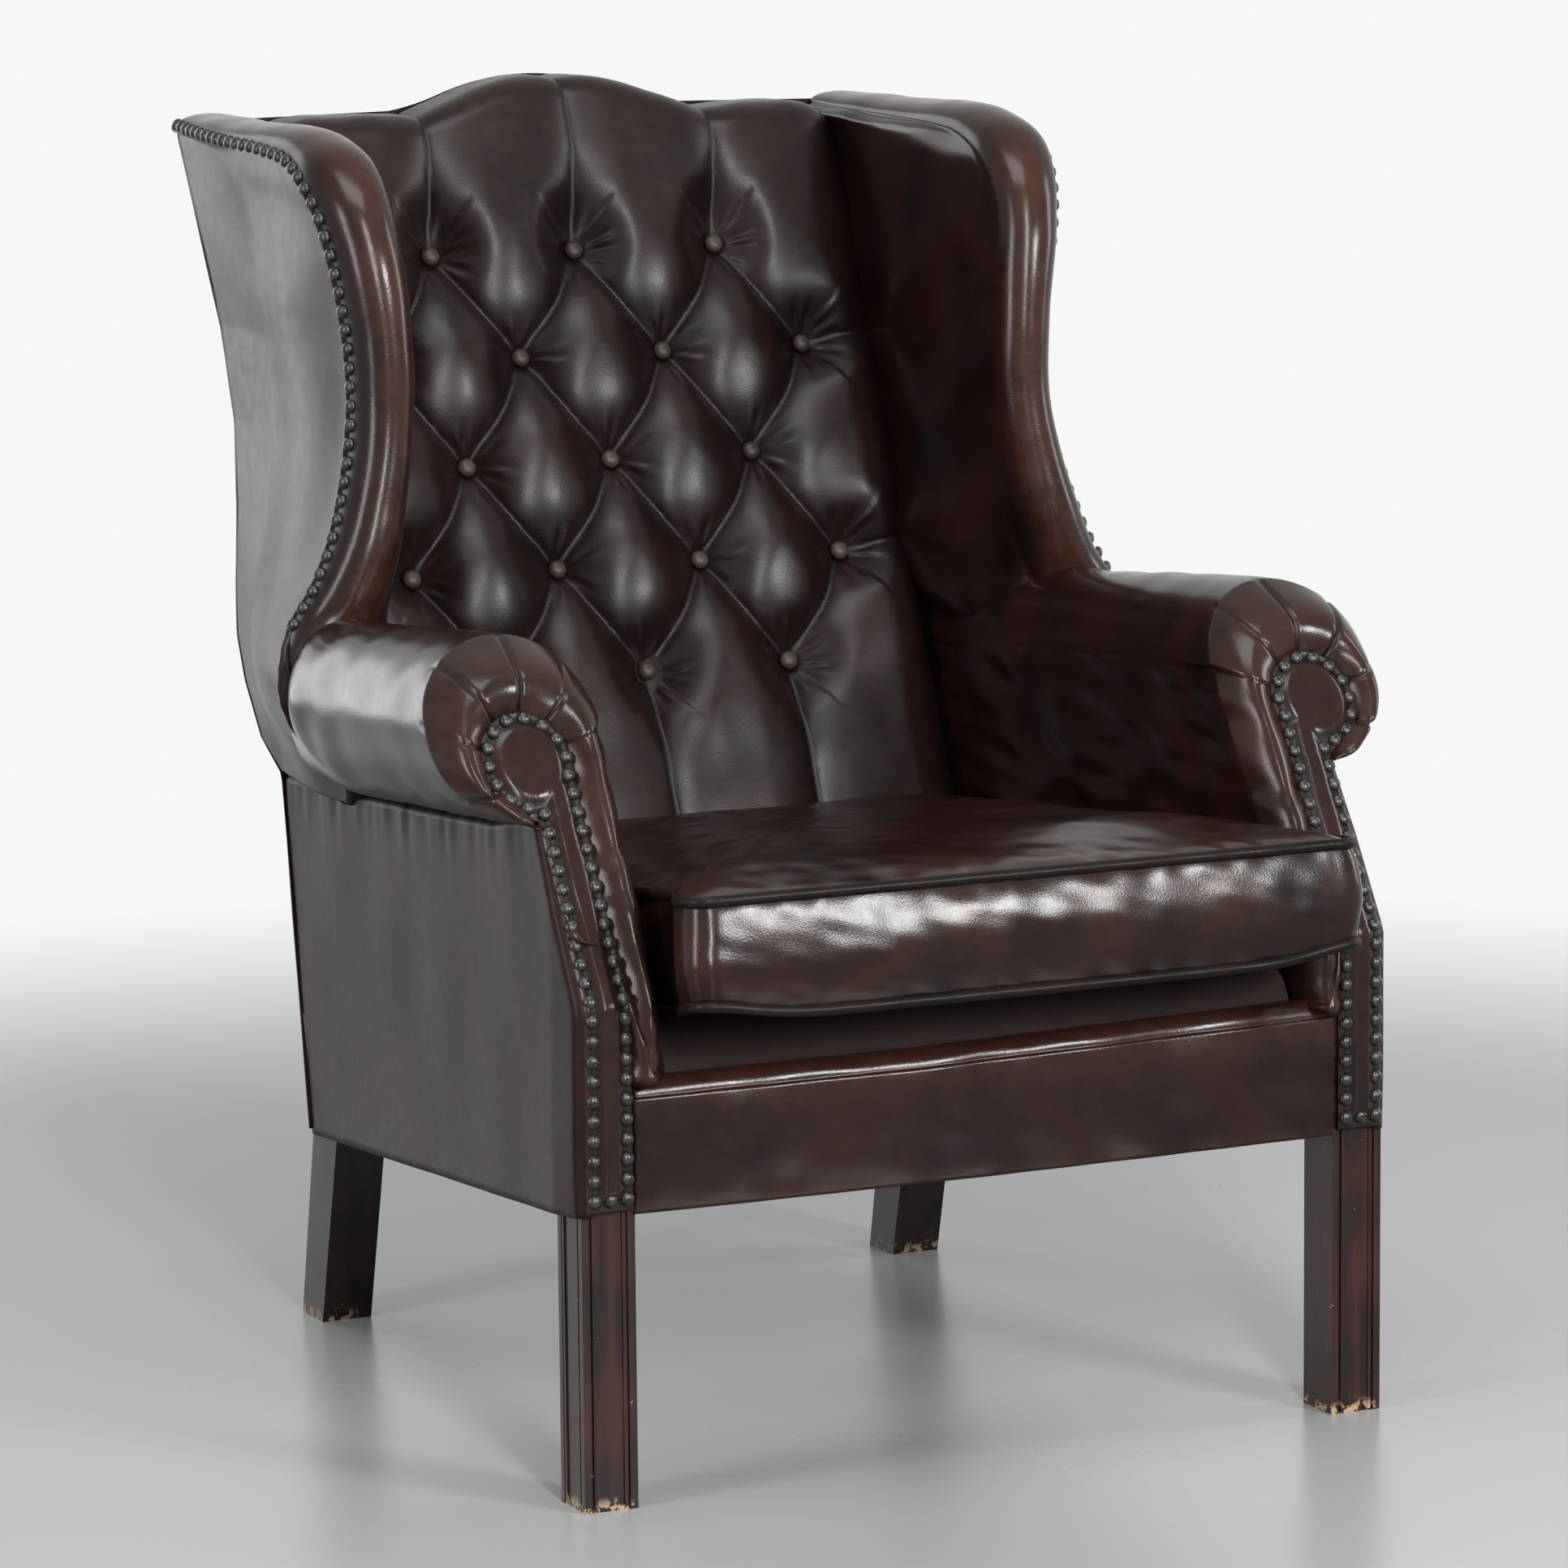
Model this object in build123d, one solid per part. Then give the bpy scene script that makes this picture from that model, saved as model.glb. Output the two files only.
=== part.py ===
from build123d import *
from math import acos, asin, atan2, cos, degrees, radians, sin, sqrt, tan
import os

# Wing armchair with a buttoned back, rolled arms, square moulded legs and a loose seat
# cushion. Millimetres. Z is up, the sitter faces -Y, and left and right are the
# sitter's, so left is +X. Everything is first placed from the front face of the front
# legs (y = 0), the centre plane (x = 0) and the floor (z = 0), and moved at the end so
# that the origin is under the middle of the whole chair.

# Legs
leg_section = 46.0
front_leg_span = 723.0
rear_leg_span = 608.0
rear_leg_foot_front = 696.0
rear_leg_foot_depth = 47.0
rear_leg_head_depth = 54.0
leg_bead_width = 6.5
leg_quirk_width = 2.0
leg_quirk_depth = 2.2
leg_hollow_depth = 1.2
leg_hollow_rim = 3.0

# Seat frame, which falls towards the back
cover_foot = 242.0
seat_pitch = 5.7
rail_width = 28.0
front_rail_setback = 6.0
webbing_thickness = 2.0
rail_foot = 3 * webbing_thickness
rail_height = 94.0
rear_rail_front = 684.0
rear_rail_width = 24.0
corner_block_reach = 62.0
corner_block_height = 40.0
corner_block_drop = 14.0
webbing_width = 50.0
dust_cover_thickness = 1.2
dust_cover_drop = 1.6

# Springs and stuffing under the cushion
spring_width = 84.0
spring_waist = 52.0
spring_inset = 129.0
hessian_thickness = 1.5
deck_height = 45.0
deck_front_roll = 46.0
deck_front_setback = 2.0
border_foot_lap = 4.0
border_round = 8.0

# Back frame, which leans back
back_pitch = 12.2
back_foot_y = 712.0
back_foot_z = 173.0
post_width = 42.0
post_depth = 46.0
post_drop = 73.0
post_setback = 4.0
post_inset = 8.0
crest_rail_depth_down = 92.0
crest_padding = 12.0
tack_rail_foot = 240.0
tack_rail_height = 60.0
outside_cover_thickness = 3.0
cover_clearance = 0.3

# Top line of the back: a raised centre that falls to level shoulders
crest_top = 1078.0
crest_rise = 32.0
crest_reach = 170.0
crest_front_round = 24.0

# Inside back and its buttoning
crest_thickness = 71.7
tuft_row_y = 659.6
tuft_row_z = 562.0
tuft_column = 138.3
tuft_row = 97.7
tuft_depth = 30.0
tuft_groove_reach = 52.0
tuft_groove_overrun = 5.0
pleat_reach = 30.0
pleat_depth = 17.0
back_pad_inset = 28.0
back_pad_front = 584.0
button_width = 16.0
button_height = 7.0
button_well = 20.0

# Arms
arm_crease = 404.0
arm_rake = 30.9
arm_wall_front = 75.5
arm_wall_rear = 23.0
roll_radius_front = 71.0
roll_radius_rear = 63.0
roll_height_front = 602.0
roll_height_rear = 588.0
arm_length = 650.0
roll_length = 505.0
arm_neck_stand = 2.0
arm_wall_drop = 14.0
stump_depth = 32.0
stump_scroll_radius = 40.0
scroll_drop = 16.0
scroll_inset = 4.5
facing_thickness = 4.0
facing_scroll_radius = 45.0
facing_neck = 45.0
arm_rail_width = 30.0
arm_rail_height = 26.0
arm_cover_lap = 2.0
arm_cover_top_rear = 478.0
arm_cover_rear_lean = 7.0
stump_setback = 4.0

# Wings
wing_drop = 35.0
wing_foot_rise = 1.0
wing_reach = 364.0
wing_lap = 16.0
wing_waist_inset = 30.7
wing_rear_splay = 31.7
wing_inner_stand = 1.9
wing_roll = 13.0
wing_frame_thickness = 22.0
wing_frame_cover = 13.0
wing_frame_depth = 44.0
wing_frame_setback = 24.0
wing_rail_height = 30.0

# Cushion, laid out on the sloping deck
cushion_ear_lap = 9.0
cushion_middle_gap = 11.0
cushion_rear_gap = 15.0
cushion_front = 98.0
cushion_ear = 40.0
cushion_ear_run = 42.0
cushion_rear = 548.0
cushion_boxing = 92.0
cushion_crown = 38.0
cushion_belly = 8.0
cushion_corner = 28.0
cushion_soft_corner = 32.0
cushion_clearance = 0.3
piping_radius = 4.2
piping_stand = 0.8

# One overrun for every cutting body
overrun = 20.0


# Reference lines that several pieces share

def seat_z(y, rise):
    """Height at depth y of the line that lies rise above the covers' sloping lower edge."""
    return cover_foot - y * tan(radians(seat_pitch)) + rise / cos(radians(seat_pitch))


def back_y(z, inset):
    """Depth at height z of the plane that lies inset in front of the outside back."""
    lean = radians(back_pitch)
    return back_foot_y + (z - back_foot_z) * tan(lean) - inset / cos(lean)


def tuft_lean():
    """Lean of the inside back, in radians, that leaves the crest its thickness at the shoulders."""
    shoulder = crest_top - crest_rise
    run = shoulder - tuft_row_z
    shift = back_y(shoulder, wing_face_inset) - crest_thickness - tuft_row_y
    return atan2(shift, run) + asin(tuft_depth / sqrt(run ** 2 + shift ** 2))


def tuft_y(z, rise):
    """Depth at height z of the plane that stands rise in front of the buttons' plane."""
    return tuft_row_y + (z - tuft_row_z) * tan(tuft_lean()) - rise / cos(tuft_lean())


def arm_front_y(z, proud):
    """Depth of the arm's front line at height z: upright to the crease, then raked back."""
    rake = radians(arm_rake)
    crease = arm_crease + proud * tan(rake / 2)
    return -proud + max(z - crease, 0) * tan(rake)


def blend(front, rear, y):
    """Value at depth y on the straight line from front (y = 0) to rear (y = arm_length)."""
    return front + (rear - front) * y / arm_length


seat_frame = Location((0, 0, cover_foot), (-seat_pitch, 0, 0))
rail_top = rail_foot + rail_height
hessian_top = rail_top + hessian_thickness
deck_top = hessian_top + deck_height
front_half = front_leg_span / 2
rear_half = rear_leg_span / 2
wing_face_inset = outside_cover_thickness + cover_clearance
cover_rear_half = rear_half + wing_face_inset
post_top = crest_top - post_drop
back_pad_half = rear_half - back_pad_inset
arm_inner_front = front_half - arm_wall_front
arm_inner_rear = rear_half - arm_wall_rear
arm_neck_rear = rear_half + arm_neck_stand
scroll_height = roll_height_front - scroll_drop
scroll_half = front_half - scroll_inset
arm_cover_top_front = roll_height_front - roll_radius_front + arm_cover_lap


# Ways of making a solid from outlines

def upright_face(points, y):
    """Flat outline across the chair at depth y, from (x, z) points."""
    return Face(Wire.make_polygon([(x, y, z) for x, z in points]))


def span(front, front_y, rear, rear_y):
    """Straight-sided solid between an outline at front_y and one at rear_y."""
    return loft([upright_face(front, front_y), upright_face(rear, rear_y)], ruled=True)


def bar(x_from, x_to, z_from, z_to):
    """Corners of a rectangle across the chair."""
    return [(x_from, z_from), (x_to, z_from), (x_to, z_to), (x_from, z_to)]


def side_plate(points, x_from, x_to):
    """Plate with an outline seen from the side, from (y, z) points, as thick as x_to - x_from."""
    face = Face(Wire.make_polygon([(x_from, y, z) for y, z in points]))
    return extrude(face, amount=x_to - x_from, dir=(1, 0, 0))


def plan_plate(points, z_from, z_to):
    """Plate with an outline seen from above, from (x, y) points."""
    face = Face(Wire.make_polygon([(x, y, z_from) for x, y in points]))
    return extrude(face, amount=z_to - z_from, dir=(0, 0, 1))


def block(x_from, x_to, y_from, y_to, z_from, z_to):
    """Straight block between two corners."""
    corners = [(x_from, y_from), (x_to, y_from), (x_to, y_to), (x_from, y_to)]
    return plan_plate(corners, z_from, z_to)


def solids(shape):
    """The solids of a shape or of a list of shapes, as a flat list."""
    shapes = shape if isinstance(shape, (list, tuple)) else [shape]
    return [solid for each in shapes for solid in each.solids()]


def mirrored(shape):
    """The same solids on the other side of the centre plane."""
    return [mirror(solid, about=Plane.YZ) for solid in solids(shape)]


def cut(shape, *tools):
    """The shape less every solid of the tools."""
    cutters = [solid for tool in tools for solid in solids(tool)]
    result = []
    for solid in solids(shape):
        left = solid.cut(*cutters)
        result += left if isinstance(left, (list, tuple)) else left.solids()
    return [solid for each in result for solid in each.solids()]


def largest(shapes):
    """The largest of several solids, as a list of one."""
    return sorted(solids(shapes), key=lambda solid: solid.volume)[-1:]


# Legs

def front_leg():
    """Square leg and post in one piece, with a bead, a quirk and a hollow on each show face."""
    inner = front_half - leg_section
    leg = block(inner, front_half, 0, leg_section, 0, seat_z(leg_section, rail_top))
    far_quirk = leg_section - leg_bead_width - leg_quirk_width
    hollow_from = leg_bead_width + leg_quirk_width + leg_hollow_rim
    sinkings = [
        (leg_bead_width, leg_bead_width + leg_quirk_width, leg_quirk_depth),
        (far_quirk, far_quirk + leg_quirk_width, leg_quirk_depth),
        (hollow_from, leg_section - hollow_from, leg_hollow_depth),
    ]
    low = -overrun
    high = cover_foot - leg_quirk_width
    far = front_half + overrun
    cutters = []
    for start, end, depth in sinkings:
        cutters.append(block(inner + start, inner + end, low, depth, low, high))
        cutters.append(block(front_half - depth, far, start, end, low, high))
    return cut(leg, cutters)


def rear_leg():
    """Raked square leg that turns at the seat into the leaning back post."""
    foot_back = rear_leg_foot_front + rear_leg_foot_depth
    head_z = back_foot_z
    head_back = back_y(head_z, post_setback)
    joint_z = seat_z(head_back, rail_top)
    joint_back = back_y(joint_z, post_setback)
    joint_front = back_y(joint_z, post_setback + post_depth)
    lower = [
        (rear_leg_foot_front, 0),
        (foot_back, 0),
        (head_back, head_z),
        (joint_back, joint_z),
        (joint_front, joint_z),
        (head_back - rear_leg_head_depth, head_z),
    ]
    leg = side_plate(lower, rear_half - leg_section, rear_half)
    upper = [
        (joint_back, joint_z),
        (back_y(post_top, post_setback), post_top),
        (back_y(post_top, post_setback + post_depth), post_top),
        (joint_front, joint_z),
    ]
    post_outer = rear_half - post_inset
    return leg + side_plate(upper, post_outer - post_width, post_outer)


left_front_leg = front_leg()
left_rear_leg = rear_leg()
post_outer_half = rear_half - post_inset
post_inner_half = post_outer_half - post_width


# Seat frame

def cross_rail(front, width):
    """Rail from side to side, its faces upright and its edges sloping with the seat."""
    half = front_half - leg_section if front < leg_section else rear_half - leg_section
    outline = [
        (front, seat_z(front, rail_foot)),
        (front + width, seat_z(front + width, rail_foot)),
        (front + width, seat_z(front + width, rail_top)),
        (front, seat_z(front, rail_top)),
    ]
    return cut(side_plate(outline, -half, half), left_rear_leg, mirrored(left_rear_leg))


def side_rail():
    """Rail from front leg to rear leg, in line with both, so it closes in towards the back."""
    front_y = leg_section
    rear_y = rear_rail_front
    front = bar(front_half - rail_width, front_half, seat_z(front_y, rail_foot), seat_z(front_y, rail_top))
    rear = bar(rear_half - rail_width, rear_half, seat_z(rear_y, rail_foot), seat_z(rear_y, rail_top))
    return cut(span(front, front_y, rear, rear_y), left_rear_leg)


def side_rail_inner(y):
    """Half width between the inner faces of the side rails at depth y."""
    share = (y - leg_section) / (rear_rail_front - leg_section)
    return front_half - rail_width + (rear_half - front_half) * share


front_seat_rail = cross_rail(front_rail_setback, rail_width)
rear_seat_rail = cross_rail(rear_rail_front, rear_rail_width)
left_side_rail = side_rail()


def corner_blocks():
    """Glued blocks in the four corners of the seat frame."""
    rail_back = front_rail_setback + rail_width
    inner = front_half - leg_section
    front_end = rail_back + corner_block_reach
    front_outline = [
        (inner - corner_block_reach, rail_back),
        (inner, rail_back),
        (inner, leg_section),
        (side_rail_inner(leg_section), leg_section),
        (side_rail_inner(front_end), front_end),
    ]
    rear_start = rear_rail_front - corner_block_reach
    rear_outline = [
        (rear_half - leg_section - corner_block_reach, rear_rail_front),
        (side_rail_inner(rear_rail_front), rear_rail_front),
        (side_rail_inner(rear_start), rear_start),
    ]
    front_top = seat_z(front_end, rail_top) - corner_block_drop
    rear_top = seat_z(rear_rail_front, rail_top) - corner_block_drop
    front = plan_plate(front_outline, front_top - corner_block_height, front_top)
    rear = plan_plate(rear_outline, rear_top - corner_block_height, rear_top)
    pair = solids(front) + cut(rear, left_rear_leg)
    return pair + mirrored(pair)


# Sheets that lie parallel to the seat: outlines from above, in the seat's own slope

seat_front_edge = front_rail_setback
seat_rear_edge = rear_rail_front + rear_rail_width


def seat_sheet(inset, low, high, *posts):
    """Sheet over the whole seat frame, inset from its outer faces and notched round the posts."""
    front = front_half - inset
    rear = rear_half - inset
    outline = [
        (-front, seat_front_edge),
        (front, seat_front_edge),
        (rear, seat_rear_edge),
        (-rear, seat_rear_edge),
    ]
    sheet = plan_plate(outline, low, high).locate(seat_frame)
    return cut(sheet, *posts, *[mirrored(post) for post in posts])


spring_row_shares = (0.22, 0.5, 0.78)
spring_column_shares = (-0.5, 0, 0.5)
spring_rows = [seat_front_edge + share * (seat_rear_edge - seat_front_edge) for share in spring_row_shares]
spring_columns = [share * (rear_leg_span - 2 * spring_inset) for share in spring_column_shares]


def seat_webbing():
    """Strips from front to back tacked under the rails, with strips across laid below them."""
    strips = []
    for x in spring_columns:
        half = webbing_width / 2
        low = rail_foot - webbing_thickness
        strips += solids(block(x - half, x + half, seat_front_edge, seat_rear_edge, low, rail_foot))
    for y in spring_rows:
        reach = side_rail_inner(y) + rail_width / 2
        low = rail_foot - 2 * webbing_thickness
        high = rail_foot - webbing_thickness
        half = webbing_width / 2
        strips += solids(block(-reach, reach, y - half, y + half, low, high))
    return [strip.locate(seat_frame) for strip in strips]


def seat_springs():
    """Coil springs, each as the closed hourglass that its turns fill."""
    end = spring_width / 2
    waist = spring_waist / 2
    height = rail_top - rail_foot
    start = (0, rail_foot)
    outline = [
        Line(start, (end, rail_foot)),
        ThreePointArc((end, rail_foot), (waist, rail_foot + height / 2), (end, rail_top)),
        Line((end, rail_top), (0, rail_top)),
        Line((0, rail_top), start),
    ]
    face = Plane.XZ * make_face(outline)
    spring = revolve(face, axis=Axis.Z)
    return [
        solids(spring)[0].moved(seat_frame * Location((x, y, 0)))
        for x in spring_columns
        for y in spring_rows
    ]


def seat_deck():
    """Stuffed platform under the cushion, rounded down to the front rail."""
    front = deck_front_setback
    level = front + deck_front_roll
    lower = hessian_top
    fall = radians(seat_pitch)
    rear = (back_pad_front - cover_clearance - deck_top * sin(fall)) / cos(fall)
    bend = sqrt(0.5)
    knee = (level - deck_front_roll * bend, deck_top - deck_height * (1 - bend))
    outline = Wire([
        Edge.make_line((0, front, lower), (0, rear, lower)),
        Edge.make_line((0, rear, lower), (0, rear, deck_top)),
        Edge.make_line((0, rear, deck_top), (0, level, deck_top)),
        Edge.make_three_point_arc((0, level, deck_top), (0, *knee), (0, front, lower)),
    ])
    wide = extrude(Face(outline), amount=front_half, dir=(1, 0, 0), both=True).locate(seat_frame)
    arm = arm_form(-cover_clearance)
    posts = [arm, outboard(), left_front_leg, left_arm_stump]
    return cut(wide, *posts, *[mirrored(post) for post in posts])


def outboard():
    """Everything outside the arms' inner faces."""
    tall = crest_top
    front_x = arm_inner_front - cover_clearance
    rear_x = arm_inner_rear - cover_clearance
    far = front_half + overrun
    front = bar(front_x, far, 0, tall)
    rear = bar(rear_x, far, 0, tall)
    return span(front, -overrun, rear, arm_length + overrun)


def front_border():
    """Padded leather strip over the front rail, rounded over its top edge."""
    top = seat_z(front_rail_setback, hessian_top)
    half = front_half - leg_section
    face_y = -facing_thickness
    rear_y = front_rail_setback
    low = cover_foot - border_foot_lap
    outline = [(face_y, low), (rear_y, low), (rear_y, top), (face_y, top)]
    strip = side_plate(outline, -half, half)
    edge = strip.edges().filter_by(Axis.X).group_by(Axis.Z)[-1].sort_by(Axis.Y)[0]
    return fillet([edge], border_round)


# Arms

half_turn = 180.0
roll_turn_shares = (0, 0.25, 0.5, 0.75, 1)


def side_panel(near, far):
    """Panel down the outside of the arm, between two offsets from the legs' outer faces."""
    rear_y = back_y(arm_cover_top_rear, wing_face_inset)
    lean = arm_cover_rear_lean
    half = front_half + near
    front = [
        (half, cover_foot),
        (front_half + far, cover_foot),
        (front_half + far, arm_cover_top_front),
        (half, arm_cover_top_front),
    ]
    rear_low = seat_z(rear_y, 0)
    rear_near = rear_half + near
    rear_far = rear_half + far
    rear = [
        (rear_near, rear_low),
        (rear_far, rear_low),
        (rear_far - lean, arm_cover_top_rear),
        (rear_near - lean, arm_cover_top_rear),
    ]
    beside_leg = span(front, -facing_thickness, front, leg_section)
    return beside_leg + span(front, leg_section, rear, rear_y)


def roll_section(y, clear):
    """Arm section at depth y: upright inner face, round roll, and neck back to the rail."""
    inner = blend(arm_inner_front, arm_inner_rear, y) - clear
    radius = blend(roll_radius_front, roll_radius_rear, y) + clear
    centre = inner + radius
    height = blend(roll_height_front, roll_height_rear, y)
    neck = blend(front_half, arm_neck_rear, y) + clear
    low = seat_z(y, hessian_top) + cover_clearance
    end = -acos((neck - centre) / radius)
    start = radians(half_turn)
    turns = [start + (end - start) * share for share in roll_turn_shares]
    on_roll = [(centre + radius * cos(turn), y, height + radius * sin(turn)) for turn in turns]
    foot_inner = (inner, y, low)
    foot_neck = (neck, y, low)
    return Face(Wire([
        Edge.make_line(foot_inner, on_roll[0]),
        Edge.make_three_point_arc(*on_roll[:3]),
        Edge.make_three_point_arc(*on_roll[2:]),
        Edge.make_line(on_roll[-1], foot_neck),
        Edge.make_line(foot_neck, foot_inner),
    ]))


def arm_form(clear):
    """The arm's whole padded form from front to back, grown by clear."""
    front_y = -facing_thickness
    roll = loft([roll_section(front_y, clear), roll_section(roll_length, clear)], ruled=True)
    ends = []
    for y in (roll_length, arm_length):
        inner = blend(arm_inner_front, arm_inner_rear, y) - clear
        neck = blend(front_half, arm_neck_rear, y) + clear
        top = blend(roll_height_front, roll_height_rear, y) - arm_wall_drop
        ends.append(bar(inner, neck, seat_z(y, hessian_top) + cover_clearance, top))
    wall = span(ends[0], roll_length, ends[1], arm_length)
    return roll + wall


def arm_waste(proud):
    """Everything in front of the arm's front line."""
    top = crest_top
    outline = [
        (-top, 0),
        (-proud, 0),
        (-proud, arm_crease + proud * tan(radians(arm_rake) / 2)),
        (arm_front_y(top, proud), top),
        (-top, top),
    ]
    return side_plate(outline, 0, front_leg_span)


def keyhole(neck_inner, neck_outer, radius, low):
    """Prism along the chair with the arm front's outline: a straight neck under a round scroll."""
    depth = rear_leg_foot_front
    neck = block(neck_inner, neck_outer, -depth, depth, low, scroll_height)
    lobe = Location((scroll_half, 0, scroll_height)) * Cylinder(radius, 2 * depth, rotation=(90, 0, 0))
    return neck + lobe


def arm_strip(depth, low):
    """Strip behind the arm's front line, as deep as depth along the chair."""
    top = crest_top
    front = [(0, low), (0, arm_crease), (arm_front_y(top, 0), top)]
    back = [(y + depth, z) for y, z in reversed(front)]
    return side_plate(front + back, 0, front_leg_span)


def arm_stump():
    """Upright board behind the arm's front, standing on the leg and ending in the scroll."""
    low = seat_z(leg_section, rail_top)
    outline = keyhole(front_half - leg_section, front_half - stump_setback, stump_scroll_radius, low)
    stump = arm_strip(stump_depth, low) & outline
    return largest(cut(stump, side_panel(cover_clearance, front_half)))


def arm_facing():
    """Padded leather panel nailed on the post and on the scroll, creased where the arm turns back."""
    outer = front_half
    outline = keyhole(outer - facing_neck, outer, facing_scroll_radius, cover_foot)
    proud = facing_thickness
    crease = arm_crease + proud * tan(radians(arm_rake) / 2)
    top = crest_top - crest_rise
    strip = side_plate([
        (-proud, cover_foot),
        (0, cover_foot),
        (0, arm_crease),
        (arm_front_y(top, 0), top),
        (arm_front_y(top, proud), top),
        (-proud, crease),
    ], 0, front_leg_span)
    return largest(cut(strip & outline, side_panel(cover_clearance, front_half)))


def arm_rail():
    """Rail along the top of the arm from the stump back to the rear post."""
    front_y = arm_front_y(scroll_height, 0) + stump_depth
    rear_y = back_y(scroll_height, post_setback + post_depth)
    top = scroll_height
    low = top - arm_rail_height
    front = bar(scroll_half - arm_rail_width, scroll_half, low, top)
    rear = bar(back_pad_half + cover_clearance, post_outer_half, low, top)
    return cut(span(front, front_y - stump_depth, rear, rear_y), arm_strip(stump_depth, 0), left_rear_leg)


left_arm_stump = arm_stump()
left_arm_facing = arm_facing()
left_arm_rail = arm_rail()


def arm_pad():
    """Stuffed inside arm, roll and front round the arm's frame."""
    form = cut(arm_form(0), arm_waste(facing_thickness), side_panel(cover_clearance, front_half))
    return largest(cut(form, left_arm_stump, left_arm_facing, left_arm_rail, left_front_leg, left_rear_leg))


def outside_arm_cover():
    """Flat leather panel on the outside of the arm, from the front post to the back post."""
    panel = side_panel(cover_clearance, wing_face_inset)
    return cut(panel, arm_waste(facing_thickness), back_waste(wing_face_inset))


def back_waste(inset):
    """Everything behind the plane that lies inset in front of the outside back."""
    far = front_leg_span + crest_top
    outline = [
        (back_y(0, inset), 0),
        (far, 0),
        (far, crest_top + overrun),
        (back_y(crest_top + overrun, inset), crest_top + overrun),
    ]
    return side_plate(outline, -front_leg_span, front_leg_span)


# Wings: level sections from the foot up. Each row has the level's share of the height beside
# the arm, its share of the rise above the arm, and its shares of the half width and the reach
# at the front and of the half width at the rear.

wing_level_shares = [
    (0, 0, 0.869, 0.893, 0.885),
    (0.179, 0, 0.918, 1.003, 0.932),
    (0.293, 0, 0.977, 1.044, 0.947),
    (0.462, 0, 1.068, 1.058, 0.962),
    (0.689, 0, 1.092, 1.066, 0.97),
    (0.944, 0, 1.013, 0.997, 0.959),
    (1, 0.139, 0.924, 1, 0.937),
    (1, 0.337, 0.869, 0.981, 0.92),
    (1, 0.548, 0.865, 0.978, 0.932),
    (1, 0.76, 0.89, 0.964, 0.966),
    (1, 0.902, 0.921, 0.89, 0.988),
    (1, 0.971, 0.937, 0.728, 0.999),
    (1, 1, 0.924, 0.536, 0.985),
]
stile_level_shares = wing_level_shares[5:-2]
wing_foot = arm_cover_top_rear + wing_foot_rise
wing_top = crest_top - wing_drop
wing_depth_line = roll_length + wing_reach + wing_lap
arm_inner_at_wing = blend(arm_inner_front, arm_inner_rear, roll_length)
roll_radius_at_wing = blend(roll_radius_front, roll_radius_rear, roll_length)
arm_top_at_wing = blend(roll_height_front, roll_height_rear, roll_length) + roll_radius_at_wing
wing_half = arm_inner_at_wing + 2 * roll_radius_at_wing - wing_waist_inset
wing_rear_half = cover_rear_half + wing_rear_splay
wing_inner_front = arm_inner_at_wing + wing_inner_stand
wing_frame_inner = wing_inner_front + wing_frame_cover


def wing_corners(level_shares, skin):
    """Height of a level and its plan corners: rear outer, front outer, roll, front inner, rear inner."""
    foot_share, rise_share, width_share, front_share, rear_share = level_shares
    foot_height = foot_share * (arm_top_at_wing - wing_foot)
    z = wing_foot + foot_height + rise_share * (wing_top - arm_top_at_wing)
    outer = wing_half * width_share - skin
    front = wing_depth_line - wing_reach * front_share
    rear_outer = wing_rear_half * rear_share - skin
    rear = back_y(z, wing_face_inset)
    inner_front = wing_inner_front
    roll = ((outer + inner_front) / 2, front - wing_roll)
    return z, (rear_outer, rear), (outer, front), roll, (inner_front, front), (back_pad_half, rear)


def wing_section(level_shares):
    """Level outline of the whole wing."""
    z, rear_outer, front_outer, roll, front_inner, rear_inner = wing_corners(level_shares, 0)
    lift = [(x, y, z) for x, y in (rear_outer, front_outer, roll, front_inner, rear_inner)]
    return Face(Wire([
        Edge.make_line(lift[0], lift[1]),
        Edge.make_three_point_arc(lift[1], lift[2], lift[3]),
        Edge.make_line(lift[3], lift[4]),
        Edge.make_line(lift[4], lift[0]),
    ]))


def wing_cover_section(level_shares):
    """Level outline of the leather on the outside of the wing."""
    z, rear_outer, front_outer = wing_corners(level_shares, 0)[:3]
    thick = outside_cover_thickness
    points = [rear_outer, front_outer, (front_outer[0] - thick, front_outer[1])]
    points.append((rear_outer[0] - thick, rear_outer[1]))
    return Face(Wire.make_polygon([(x, y, z) for x, y in points]))


def wing_cover_room(level_shares):
    """Level outline of all that the outside leather needs kept clear, beyond it and past its ends."""
    z, rear_outer, front_outer = wing_corners(level_shares, wing_face_inset)[:3]
    run = Vector(*front_outer) - Vector(*rear_outer)
    ahead = run.normalized() * overrun
    rear = Vector(*rear_outer) - ahead
    front = Vector(*front_outer) + ahead
    points = [rear, front, front + Vector(overrun, 0), rear + Vector(overrun, 0)]
    return Face(Wire.make_polygon([(point.X, point.Y, z) for point in points]))


def wing_stile():
    """Shaped upright at the front of the wing, from the arm rail to the top rail."""
    front = []
    for level_shares in stile_level_shares:
        z, _, front_outer = wing_corners(level_shares, 0)[:3]
        front.append((front_outer[1] + wing_frame_setback, z))
    front = [(front[0][0], scroll_height)] + front
    back = [(y + wing_frame_depth, z) for y, z in reversed(front)]
    outer = wing_frame_inner + wing_frame_thickness
    return cut(side_plate(front + back, wing_frame_inner, outer), left_arm_rail)


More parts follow.
